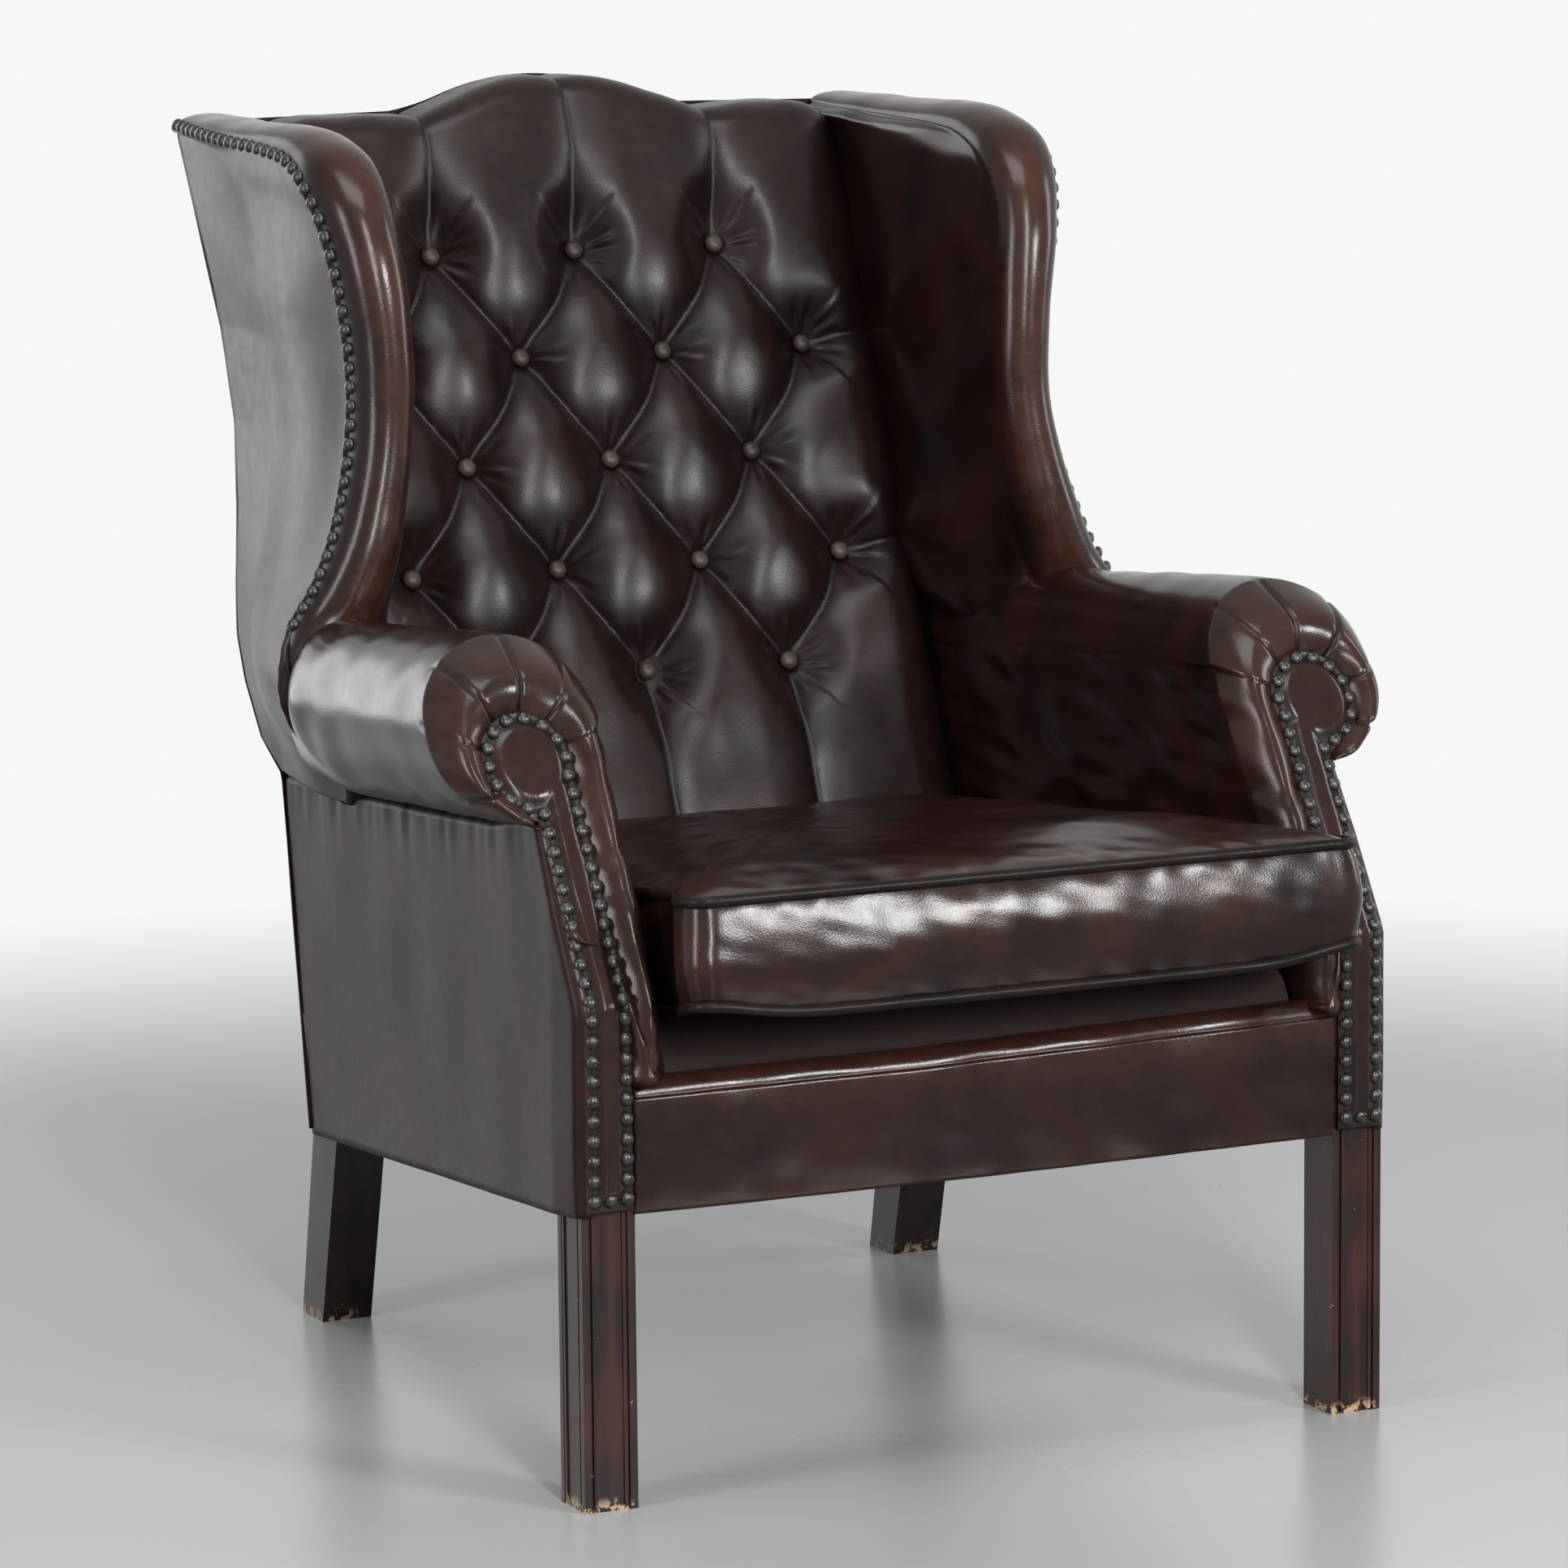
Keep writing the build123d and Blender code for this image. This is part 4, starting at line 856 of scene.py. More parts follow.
# Buttons: leather gathered over domed moulds and worn paler than the back. Twine ties each one
# through the stuffing, which leaves it at the bottom of a well.
button_leather = leather(
    "button_leather", gloss=0.34, Hide=(0.036, 0.025, 0.022, 1), Dark=(0.018, 0.012, 0.011, 1),
)
button_radius = 0.0083
button_rise = 0.0062
button_sink = 0.0035
button_gather = 0.035
button_profile = [
    (0.5, -0.55), (0.86, -0.45), (1.0, -0.05), (0.97, 0.30), (0.84, 0.62), (0.60, 0.86),
    (0.30, 0.98), (0.06, 1.0),
]
turn = np.linspace(0, 2 * math.pi, 24, endpoint=False)
domes = []
for count, (spot_x, spot_along) in enumerate(button_spots):
    y, z, out_y, out_z = back_profile(np.array([spot_x]), np.array([spot_along]))
    base_y = y[0] - out_y[0] * (tuft_depth - button_sink)
    base_z = z[0] - out_z[0] * (tuft_depth - button_sink)
    rings = []
    for reach, rise in button_profile:
        gather = 1 + button_gather * np.sin(8 * turn + count) * max(0.0, 1 - abs(rise) * 1.2)
        side_x = button_radius * reach * gather * np.cos(turn)
        side_up = button_radius * reach * gather * np.sin(turn)
        high = button_rise * rise
        rings.append(np.stack([
            spot_x + side_x,
            base_y + out_y[0] * high + out_z[0] * side_up,
            base_z + out_z[0] * high - out_y[0] * side_up,
        ], -1))
    domes.append(np.array(rings))
upholster(
    merged("buttons", domes), ["back_buttons"], button_leather,
)

# Arms: a scroll of hair and hide over a rail. The inside leather comes up from the seat,
# rolls over the arm and down under it to the outside cover. At the front it turns round a
# soft edge and is pleated round the scroll, in under the nailed facing.
arm_crease = 0.404
front_rake = math.radians(30.9)
face_stand = 0.004
arm_edge_round = 0.022
arm_front_swell = 0.012
facing_recess = 0.002
arm_inner_low = 0.286
arm_inner_places = (0.12, 0.65)
arm_inner_high = (0.281, 0.278)
arm_rear = 0.64
roll_height = 0.070
side_front = 0.3648
side_bend = 0.046
seat_fall = math.tan(seat_slope)
roll_back = 0.12
roll_places = (0.13, 0.495, 0.65, 0.77)
roll_halves = (0.073, 0.0645, 0.042, 0.026)
roll_ends = (0.13, 0.65)
roll_levels = (0.606, 0.568)
arm_foot = 0.344
cover_room = 0.007
under_drop = 0.06
lobe_middle = (0.3565, 0.582)
lobe_radius = 0.040
neck_inner = 0.3185
neck_outer = 0.3585
arm_front_middle = 0.337
pleat_turns = np.radians([-42, 2, 46, 92, 136, 176])
pleat_sink = 0.0036
sides = ((1, "left"), (-1, "right"))


def front_line(z):
    """Depth of the arm's front: upright below the bend, raked back above it."""
    return np.maximum(z - arm_crease, 0) * math.tan(front_rake) - face_stand


def side_plane(y):
    """Half width to the outside covers at depth y."""
    return side_front - side_closing * np.maximum(y - side_bend, 0)


def arm_outline(depth):
    """Closed outline of the arm across, depth behind its front: up the inner face, over the roll
    as part of an ellipse until it meets the outside cover, down the neck and back to the foot.
    The angle is that round the roll, half a turn on the inner face and 9 along the foot."""
    y = roll_back + depth
    inner = np.interp(y, arm_inner_places, arm_inner_high)
    half = np.interp(y, roll_places, roll_halves)
    height = np.interp(y, roll_ends, roll_levels)
    middle = inner + half
    low = arm_foot - seat_fall * depth
    end = side_plane(y) - cover_room
    stop = -math.acos(max((end - middle) / half, -0.9))
    up = np.linspace(0, 1, 48)[:-1]
    turn = np.linspace(math.pi, stop, 150)
    down = np.linspace(0, 1, 12)[1:]
    close = np.linspace(0, 1, 20)[1:-1]
    under = height + roll_height * math.sin(stop)
    roll_x = middle + half * np.cos(turn)
    x = np.concatenate([
        arm_inner_low + (inner - arm_inner_low) * up ** 2,
        roll_x,
        roll_x[-1] + 0 * down,
        roll_x[-1] + (arm_inner_low - roll_x[-1]) * close,
    ])
    z = np.concatenate([
        low + (height - low) * up,
        height + roll_height * np.sin(turn),
        under - under_drop * down,
        under - under_drop + (low - under + under_drop) * close,
    ])
    angle = np.concatenate([np.full(47, math.pi), turn, np.full(11, stop), np.full(18, 9.0)])
    return x, z, angle


def facing_edge(x, z):
    """Where points of the arm's front tuck under the facing: level with them at its neck, and
    on a circle round its lobe's middle above that."""
    turn = np.arctan2(z - lobe_middle[1], x - lobe_middle[0])
    lobe_x = lobe_middle[0] + (lobe_radius - 0.004) * np.cos(turn)
    lobe_z = lobe_middle[1] + (lobe_radius - 0.004) * np.sin(turn)
    neck_x = np.where(x < arm_front_middle, neck_inner + 0.004, neck_outer + 0.001)
    on_lobe = smooth_step(z, 0.535, 0.565)
    return neck_x + (lobe_x - neck_x) * on_lobe, z + (lobe_z - z) * on_lobe


def pushed(rings, amount):
    """Closed rings moved outwards by an amount along the normals of the surface they make."""
    around = np.roll(rings, -1, 1) - np.roll(rings, 1, 1)
    normal = unit(np.cross(around, np.gradient(rings, axis=0)))
    outward = np.sign(((rings - rings.mean(1, keepdims=True)) * normal).sum())
    return rings + normal * outward * np.asarray(amount)[..., None]


def upholster_pair(stem, node, rings, material, fill=0.7, **masks):
    """A stuffed piece given by its left rings, and its mirror image on the right."""
    for side, name in sides:
        piece = shell(stem + name, rings * (side, 1, 1), **masks)
        upholster(piece, [node + name], material)


def arm_rings():
    """Rings of the arm from inside the wing to its front edge, half a turn round that edge to the
    facing, and under it. The pleats are grooves across the roll that fade behind the edge."""
    rings, angles, depths = [], [], []
    for depth in np.concatenate([np.linspace(arm_rear, 0.09, 46), np.linspace(0.087, 0.0225, 34)]):
        x, z, angle = arm_outline(depth)
        rings.append(np.stack([x, front_line(z) + depth, z], -1))
        angles.append(angle)
        depths.append(depth)
    x, z, angle = arm_outline(arm_edge_round)
    edge_x, edge_z = facing_edge(x, z)
    room = smooth_step(np.hypot(edge_x - x, edge_z - z), 0.004, 0.026)
    for turn in np.linspace(0, math.pi, 26)[1:]:
        share = (1 - math.cos(turn)) / 2
        swell = abs(math.cos(turn)) ** 1.7
        inset = arm_edge_round if turn < math.pi / 2 else facing_recess + 0.003
        depth = inset * swell - arm_front_swell * room * (1 - swell)
        ring_x, ring_z = x + (edge_x - x) * share, z + (edge_z - z) * share
        rings.append(np.stack([ring_x, front_line(ring_z) + depth, ring_z], -1))
        angles.append(angle)
        depths.append(0.0 if turn > math.pi / 2 else arm_edge_round * (1 - share * 2))
    for share in (0.3, 0.8):
        ring = rings[-1].copy()
        ring[:, 1] += 0.004
        ring[:, :1] += (arm_front_middle - ring[:, :1]) * share
        rings.append(ring)
        angles.append(angle)
        depths.append(0.02)
    rings, angles = np.array(rings), np.array(angles)
    depths = np.array(depths)[:, None] + 0 * angles
    fade = 1 - smooth_step(depths, 0.004, 0.040)
    groove = 0 * angles
    for pleat, turn in enumerate(pleat_turns):
        lean = turn + (0.10 if pleat % 2 else -0.06) * depths / 0.05
        away = (angles - lean) * roll_height
        width = np.where(away > 0, 0.0036, 0.0014)
        groove = np.maximum(groove, np.exp(-(away / width) ** 2) * (1 - 0.3 * (pleat % 3 == 1)))
    on_roll = smooth_step(angles, -1.25, -1.0) * (angles < 3.05)
    groove = groove * fade * on_roll
    bulge = 0.0018 * (1 - smooth_step(depths, 0.02, 0.30)) * on_roll
    soft = 0.0008 * ripple(rings[..., 1], angles * 0.06, 0.07, 21)
    creases = 0.0016 * ripple(rings[..., 2] * 1.5, rings[..., 1] * 0.4, 0.05, 5)
    creases = creases * (angles >= 3.05)
    rings = pushed(rings, bulge + soft + creases - pleat_sink * groove)
    # The pleat grooves get painted shade through the fold shade mask.
    return rings, np.clip(groove ** 2 * 0.95, 0, 1), 0.38 * fade * (1 - groove) + 0.08


rings, fold, rub = arm_rings()
upholster_pair("inside_arm_", "arm_pad_", rings, cover_leather, fold=fold, rub=rub)

# Wings: a stuffed roll runs up the front of each wing, round its corner and back along its
# top, and the same leather lines the inside as far as the back. It ends in a row of nails.
wing_crease = 0.274
wing_crease_inset = 0.024
# A row is a place along the roll: the nail line's point (across, depth, height), the roll's
# inner side (across), how far it stands out, and the crease beside the back (depth, height).
wing_rows = np.array([
    (0.392, 0.520, 0.580, 0.335, 0.016, 0.600, 0.560),
    (0.398, 0.512, 0.612, 0.325, 0.024, 0.640, 0.600),
    (0.386, 0.522, 0.646, 0.312, 0.026, 0.690, 0.640),
    (0.367, 0.521, 0.676, 0.300, 0.030, 0.728, 0.675),
    (0.352, 0.521, 0.709, 0.291, 0.033, 0.752, 0.710),
    (0.339, 0.525, 0.749, 0.284, 0.034, 0.772, 0.750),
    (0.331, 0.528, 0.786, 0.278, 0.034, 0.790, 0.790),
    (0.327, 0.529, 0.830, 0.275, 0.034, 0.804, 0.835),
    (0.329, 0.529, 0.874, 0.275, 0.034, 0.819, 0.880),
    (0.334, 0.530, 0.915, 0.277, 0.034, 0.832, 0.920),
    (0.341, 0.534, 0.952, 0.280, 0.033, 0.838, 0.955),
    (0.347, 0.546, 0.985, 0.283, 0.031, 0.843, 0.985),
    (0.351, 0.568, 1.010, 0.284, 0.028, 0.847, 1.005),
    (0.350, 0.605, 1.027, 0.285, 0.024, 0.850, 1.018),
    (0.350, 0.660, 1.034, 0.285, 0.020, 0.853, 1.025),
    (0.352, 0.730, 1.037, 0.284, 0.016, 0.862, 1.028),
    (0.348, 0.810, 1.040, 0.282, 0.013, 0.878, 1.030),
    (0.339, 0.895, 1.043, 0.280, 0.010, 0.897, 1.032),
])


def travelled(points):
    """Length of a line of points up to each of them: the running sum of its steps."""
    return np.concatenate([[0], np.cumsum(np.linalg.norm(np.diff(points, axis=0), axis=1))])


def smooth_line(points, count):
    """Points spread evenly along a smooth curve through the rows of a table: between two rows a
    cubic that keeps both rows and their slopes over the length travelled."""
    points = np.asarray(points, float)
    travel = travelled(points[:, :3])
    steps = np.diff(travel)
    slope = np.gradient(points, travel, axis=0)
    places = np.linspace(0, travel[-1], count)
    row = np.clip(np.searchsorted(travel, places, "right") - 1, 0, len(points) - 2)
    size = steps[row][:, None]
    share = ((places - travel[row]) / steps[row])[:, None]
    a, b = 2 * share ** 3 - 3 * share ** 2 + 1, share ** 3 - 2 * share ** 2 + share
    c, d = 1 - a, share ** 3 - share ** 2
    near = a * points[row] + b * size * slope[row]
    return near + c * points[row + 1] + d * size * slope[row + 1]


def wing_rings():
    """Rings across the wing: from the crease over the inner face, half an ellipse round the roll
    to the nail line, and straight back inside to the crease."""
    line = smooth_line(wing_rows, 190)
    nail = line[:, :3]
    run = unit(np.gradient(nail[:, 1:], axis=0))
    out = np.stack([-run[:, 1], run[:, 0]], -1)
    inner = np.stack([line[:, 3], nail[:, 1], nail[:, 2]], -1)
    inset = wing_crease_inset * (1 - smooth_step(line[:, 6], 0.575, 0.63))
    crease = np.stack([wing_crease + inset, line[:, 5], line[:, 6]], -1)
    across = np.linspace(0, 1, 60)[None, :, None]
    face = crease[:, None] + (inner - crease)[:, None] * across
    bow = np.sin(math.pi * across[..., 0])
    low = 1 - smooth_step(nail[:, 2], 0.66, 0.74)[:, None]
    face[..., 0] -= 0.006 * bow ** 0.8 + 0.016 * low * bow ** 0.4
    turn = np.linspace(0, math.pi, 64)[None, 1:]
    middle = (nail[:, 0] + inner[:, 0]) / 2
    half = (nail[:, 0] - inner[:, 0]) / 2
    stand = line[:, 4][:, None] * np.sin(turn) ** 0.9
    roll = np.stack([
        middle[:, None] - half[:, None] * np.cos(turn),
        nail[:, 1][:, None] + out[:, 0][:, None] * stand,
        nail[:, 2][:, None] + out[:, 1][:, None] * stand,
    ], -1)
    close = np.linspace(0, 1, 22)[None, 1:-1, None]
    inside = nail[:, None] + (crease - nail)[:, None] * close
    rings = np.concatenate([face, roll, inside], 1)
    place = np.concatenate([across[0, :, 0], 1 + turn[0] / math.pi, 3 + 0 * close[0, :, 0]])
    return rings, place


rings, place = wing_rings()
on_face = (place < 1) * np.ones(len(rings))[:, None]
on_roll = ((place >= 1) & (place <= 2)) * np.ones(len(rings))[:, None]
soft = 0.0010 * ripple(rings[..., 1], rings[..., 2], 0.09, 31) * (on_face + 0.5 * on_roll)
rings = pushed(rings, soft)
edge = np.clip((place - 1.72) / 0.28, 0, 1) * on_roll
# Painted shade: darker by the nail line at the roll's edge and in the crease beside the back.
fold = np.maximum(edge ** 2 * 0.95, (1 - smooth_step(place, 0.0, 0.06)) * on_face)
rub = (0.75 * np.exp(-((place - 1.45) / 0.26) ** 2) + 0.04) * np.ones(len(rings))[:, None]
upholster_pair("inside_wing_", "wing_pad_", rings, cover_leather, fold=fold, rub=rub)

# Outside covers: plain leather over canvas and thin wadding on the wings and arms, about 3 mm
# thick with soft edges. The arm cover's top edge is tacked under the roll and puckers there,
# and its front edge turns the corner to the facing.
cover_thick = 0.003
wing_front_edge = np.array([
    (0.321, 0.562, 0.481),
    (0.338, 0.528, 0.508),
    (0.367, 0.508, 0.532),
    (0.394, 0.500, 0.557),
    (0.407, 0.498, 0.590),
    (0.402, 0.506, 0.618),
])
wing_rear_edge = np.array([
    (0.300, 0.479), (0.316, 0.511), (0.326, 0.561), (0.329, 0.601), (0.325, 0.646),
    (0.3176, 0.710), (0.312, 0.786), (0.316, 0.868), (0.3275, 0.950), (0.335, 1.005),
    (0.3387, 1.032), (0.338, 1.043),
])
cover_inset = 0.002

front_edge = smooth_line(np.vstack([wing_front_edge, wing_rows[2:, :3]]), 260)
heights = np.sort(front_edge[:, 2])
rear_x = np.interp(heights, wing_rear_edge[:, 1], wing_rear_edge[:, 0])
rear_y = back_plane(heights, cover_inset)
share = 1 - np.concatenate([np.linspace(1, 0.1, 50)[:-1], np.linspace(0.1, 0, 40)])[None, :]
x = rear_x[:, None] + (front_edge[:, :1] - rear_x[:, None]) * share
y = rear_y[:, None] + (front_edge[:, 1:2] - rear_y[:, None]) * share
z = heights[:, None] + 0 * share
hollow = 0.010 * smooth_step(z, 0.90, 1.0) * np.sin(math.pi * share ** 1.5) ** 2
x = x - hollow + 0.0005 * ripple(y, z, 0.14, 41)
inset = (1 - share) * (rear_y[:, None] - front_edge[:, 1:2])
channel = np.exp(-(inset / 0.0075) ** 2)
lip = np.exp(-((inset - 0.0105) / 0.0028) ** 2)
on_arm = 1 - smooth_step(z, 0.59, 0.63)
pinch = 0.0005 * np.sin(z / 0.016 * 2 * math.pi) * np.exp(-(inset / 0.014) ** 2)
tuck = 0.007 * on_arm * np.exp(-(inset / 0.004) ** 2)
swell = 0.006 * np.sin(math.pi * np.clip((inset - 0.012) / 0.20, 0, 1)) ** 1.5
outer = np.stack([x + swell + 0.0022 * lip - 0.0008 * channel + pinch - tuck, y, z], -1)
inner = outer[:, ::-1] - (cover_thick, 0, 0)
rings = np.concatenate([outer, inner], 1)
# Painted shade in the channel by the nails along the front edge.
fold = np.concatenate([0.92 * channel * (1 - lip), 0 * lip], 1)
rub = np.concatenate([0.05 + 0.65 * lip, 0 * lip], 1)
wing_leather = leather("wing_leather", gloss=0.24, shine=0.10, bump=0.00008)
upholster_pair(
    "wing_outside_", "outside_wing_cover_", rings, wing_leather, fill=0.3, fold=fold, rub=rub,
)

cover_top = np.array([
    (0.05, 0.547), (0.12, 0.541), (0.191, 0.528), (0.349, 0.514), (0.497, 0.501), (0.638, 0.491),
    (0.790, 0.481),
])
cover_foot = 0.238
cover_rise = 0.292
corner_round = 0.010
rise = np.concatenate([np.linspace(0, 0.9, 40), np.linspace(0.905, 1, 26)])[None, :]
corner = np.linspace(0, math.pi / 2, 10)
run = np.linspace(0, 1, 131)[1:]
turn = np.concatenate([corner, np.full(len(run), math.pi / 2)])[:, None]
share = np.concatenate([0 * corner, run])[:, None]
z = cover_foot + cover_rise * rise
for _ in range(4):
    start = front_line(z) + corner_round * (1 - np.cos(turn))
    y = start + (back_plane(z, cover_inset) - start) * share
    low = cover_foot - seat_fall * np.maximum(y, 0)
    z = low + (np.interp(y, cover_top[:, 0], cover_top[:, 1]) - low) * rise
tuck = np.clip((rise - 0.965) / 0.035, 0, 1)
pucker = np.exp(-((1 - rise) / 0.10) ** 2) * smooth_step(share, 0.02, 0.06)
x = side_plane(y) - corner_round * (1 - np.sin(turn)) - 0.009 * tuck ** 2
x = x + 0.0013 * pucker * ripple(y, 0, 0.034, 51) + 0.0005 * ripple(y, z, 0.15, 52)
outer = np.stack([x, y, z], -1)
rings = np.concatenate([outer, outer[:, ::-1] - (cover_thick, 0, 0)], 1)
# Painted shade where the top edge tucks under the roll, and a little in the puckers.
fold = 0.9 * tuck + 0.1 * pucker
fold = np.concatenate([fold, 0 * fold], 1)
side_leather = leather(
    "side_leather", gloss=0.26, shine=0.07,
    Hide=(0.0125, 0.0062, 0.0060, 1), Dark=(0.0070, 0.0036, 0.0036, 1),
)
upholster_pair(
    "arm_outside_", "outside_arm_cover_", rings, side_leather,
    fill=0.3, fold=fold, rub=0.10 + 0 * fold,
)

# Outside back: one plain hide over wadding, from under the seat to the crest, with its edges
# turned in along the wings and arms.
back_edge = np.vstack([[(0.307, 0.172), (0.3035, 0.330), (0.3005, 0.478)], wing_rear_edge[1:]])
back_foot = 0.172
back_top_half = 0.336
crest_half = 0.26
wing_top = 1.0455
back_crown = 0.004
levels = 1 - 0.015 * (1 - np.linspace(0, 1, 8)[1:]) ** 2
levels = np.concatenate([np.linspace(0, 0.985, 110), levels])[:, None]
side_share = np.sin(np.linspace(-math.pi / 2, math.pi / 2, 130))[None, :]
top_x = side_share * back_top_half
top_z = np.where(abs(top_x) < crest_half, crest_height(top_x), wing_top)
z = back_foot + (top_z - back_foot) * levels
x = np.interp(z, back_edge[:, 1], back_edge[:, 0]) * side_share
bow = back_crown * (1 - side_share ** 8) * (1 - (2 * levels - 1) ** 12)
bow = bow + 0.0010 * ripple(x, z, 0.16, 61)
outer = np.stack([x, back_plane(z) + bow, z], -1)
inner = outer[:, ::-1].copy()
inner[..., 1] -= bow[:, ::-1] + 0.0025
back_panel = shell("back_outside", np.concatenate([outer, inner], 1))
upholster(back_panel, ["outside_back"], side_leather)

# Facings: a narrow padded panel nailed up the front of each arm, bent back at the seat and
# ending in a round head on the scroll.
facing_top = lobe_middle[1] + lobe_radius
facing_low = 0.241


def facing_sides(z):
    """Inner and outer edge of the facing at height z: the wider of its neck and its round lobe
    where the two run together."""
    reach = np.sqrt(np.maximum(lobe_radius ** 2 - (z - lobe_middle[1]) ** 2, 1e-8))
    neck = np.where(z < 0.566, neck_inner, 9.0)
    inner = np.minimum(neck, np.where(z > 0.545, lobe_middle[0] - reach, 9.0))
    outer = np.where(z > 0.542, lobe_middle[0] + reach, neck_outer)
    return inner, np.maximum(outer, neck_outer * (z < 0.60))


def on_front(x, z, stand):
    """Points on the facing's plane at (x, z), moved out of it by stand."""
    step = 0.002
    rake = np.arctan2(front_line(z + step) - front_line(z - step), 2 * step)
    depth = front_line(z) + facing_recess * smooth_step(z, arm_crease, arm_crease + 0.06)
    return np.stack([x, depth - stand * np.cos(rake), z + stand * np.sin(rake)], -1)


heights = np.concatenate([
    np.linspace(facing_low, 0.54, 120),
    facing_top - 0.0805 * (1 - np.sin(np.linspace(0.02, math.pi / 2 - 0.03, 60))),
])
inner, outer = facing_sides(heights)
share = np.linspace(0, 1, 48)[None, :]
x = inner[:, None] + (outer - inner)[:, None] * share
z = heights[:, None] + 0 * x
in_lobe = lobe_radius - np.hypot(x - lobe_middle[0], z - lobe_middle[1])
in_neck = np.where(z < 0.566, np.minimum(x - neck_inner, neck_outer - x), -1)
inset = np.minimum(np.maximum(np.maximum(in_lobe, in_neck), 0), z - facing_low)
channel = np.exp(-((inset - 0.0065) / 0.0032) ** 2)
stand = 0.0026 * smooth_step(inset, 0, 0.003) - 0.0012 * channel
stand = stand + 0.0036 * smooth_step(inset, 0.007, 0.017)
stand = stand + 0.0003 * ripple(x * 1.5, z * 0.6, 0.030, 71)
rings = np.concatenate([
    on_front(x, z, stand + 0.0004),
    on_front(x[:, ::-1], z, -0.0025 + 0 * x),
], 1)
rub = np.concatenate([0.18 + 0.50 * np.exp(-(inset / 0.003) ** 2), 0 * x], 1)
# Painted shade in the channel inside the rows of nails.
fold = np.concatenate([0.85 * channel, 0 * x], 1)
upholster_pair("facing_", "arm_facing_", rings, cover_leather, fold=fold, rub=rub)

# Nails: domed heads of blackened steel, about 12 mm across and set close, driven through both
# edges of each facing, at its foot, and round the outline of each wing.
nail_radius = 0.0062
nail_height = 0.0048
nail_pitch = 0.0160
nail_inset = 0.0060
nail_lobe_radius = 0.0335
nail_foot = 0.2515
nail_stand = 0.0018
nail_tilt = 0.035
wing_nail_aim = (0.80, 0.60)
wing_nail_lift = 0.0006


def spaced(points, pitch):
    """Places about a pitch apart along a line of points, even in the length travelled."""
    travel = travelled(points)
    places = np.linspace(0, travel[-1], max(2, round(travel[-1] / pitch) + 1))
    return np.stack([np.interp(places, travel, points[:, k]) for k in range(3)], -1)


def nail_row(name, places, normals, material):
    """One mesh of domed heads: rings of ten points round each place, square to its normal, by a
    profile of (share of the radius, share of the height). Each head is tilted a little."""
    turn = np.linspace(0, 2 * math.pi, 10, endpoint=False)
    profile = np.array([
        (1.0, -0.2), (1.0, 0.06), (0.93, 0.42), (0.72, 0.74), (0.40, 0.94), (0.12, 1.0),
    ])
    random = np.random.default_rng(len(places))
    normals = unit(normals + random.normal(0, nail_tilt, normals.shape))
    first = unit(np.cross(normals, np.array([0.3, 0.5, 0.81])))
    second = np.cross(normals, first)
    circle = first[:, None] * np.cos(turn)[:, None] + second[:, None] * np.sin(turn)[:, None]
    rings = places[:, None, None] + circle[:, None] * profile[None, :, None, :1] * nail_radius
    rings = rings + normals[:, None, None] * profile[None, :, None, 1:] * nail_height
    piece = merged(name, rings)
    piece.data.materials.append(material)
    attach(piece, "chair")


nail_steel, tree, output = new_material("nail_steel")
place = add_node(tree, "ShaderNodeTexCoord").outputs["Object"]
patch = noise(tree, place, 240, 3)
tint = mixed_colour(
    tree, ranged(tree, patch, 0.35, 0.65), (0.006, 0.006, 0.006, 1), (0.022, 0.020, 0.019, 1),
)
rough = ranged(tree, patch, 0.3, 0.7, 0.24, 0.42)
surface = add_node(
    tree, "ShaderNodeBsdfPrincipled", Base_Color=tint, Roughness=rough, Metallic=0.3,
)
feed(tree, output, "Surface", surface.outputs[0])

lobe_turn = np.radians(np.linspace(-92, 200, 60))
lobe_line = np.stack([np.cos(lobe_turn), np.sin(lobe_turn)], -1) * nail_lobe_radius + lobe_middle
up, down = np.linspace(nail_foot, 0.545, 200), np.linspace(0.570, nail_foot, 200)
outer_line = np.stack([neck_outer - nail_inset + 0 * up, up], -1)
inner_line = np.stack([neck_inner + nail_inset + 0 * down, down], -1)
route = np.vstack([outer_line, lobe_line, inner_line])
places = spaced(on_front(route[:, 0], route[:, 1], nail_stand + 0 * route[:, 0]), nail_pitch)
foot_x, foot_z = np.array([(neck_inner + neck_outer) / 2]), np.array([nail_foot])
places = np.vstack([places, on_front(foot_x, foot_z, nail_stand)])
rake = front_rake * (places[:, 2] > arm_crease)
normals = np.stack([0 * rake, -np.cos(rake), np.sin(rake)], -1)
wing_places = spaced(smooth_line(wing_rows[2:], 400)[:, :3], nail_pitch)
ahead = unit(np.gradient(wing_places[:, 1:], axis=0)) * wing_nail_aim[1]
wing_normals = np.stack([wing_nail_aim[0] + 0 * ahead[:, 0], -ahead[:, 1], ahead[:, 0]], -1)
wing_places = wing_places + wing_normals * wing_nail_lift
for side, name in sides:
    mirror = np.array([side, 1, 1])
    nail_row("facing_nails_" + name, places * mirror, normals * mirror, nail_steel)
    nail_row("wing_nails_" + name, wing_places * mirror, wing_normals * mirror, nail_steel)

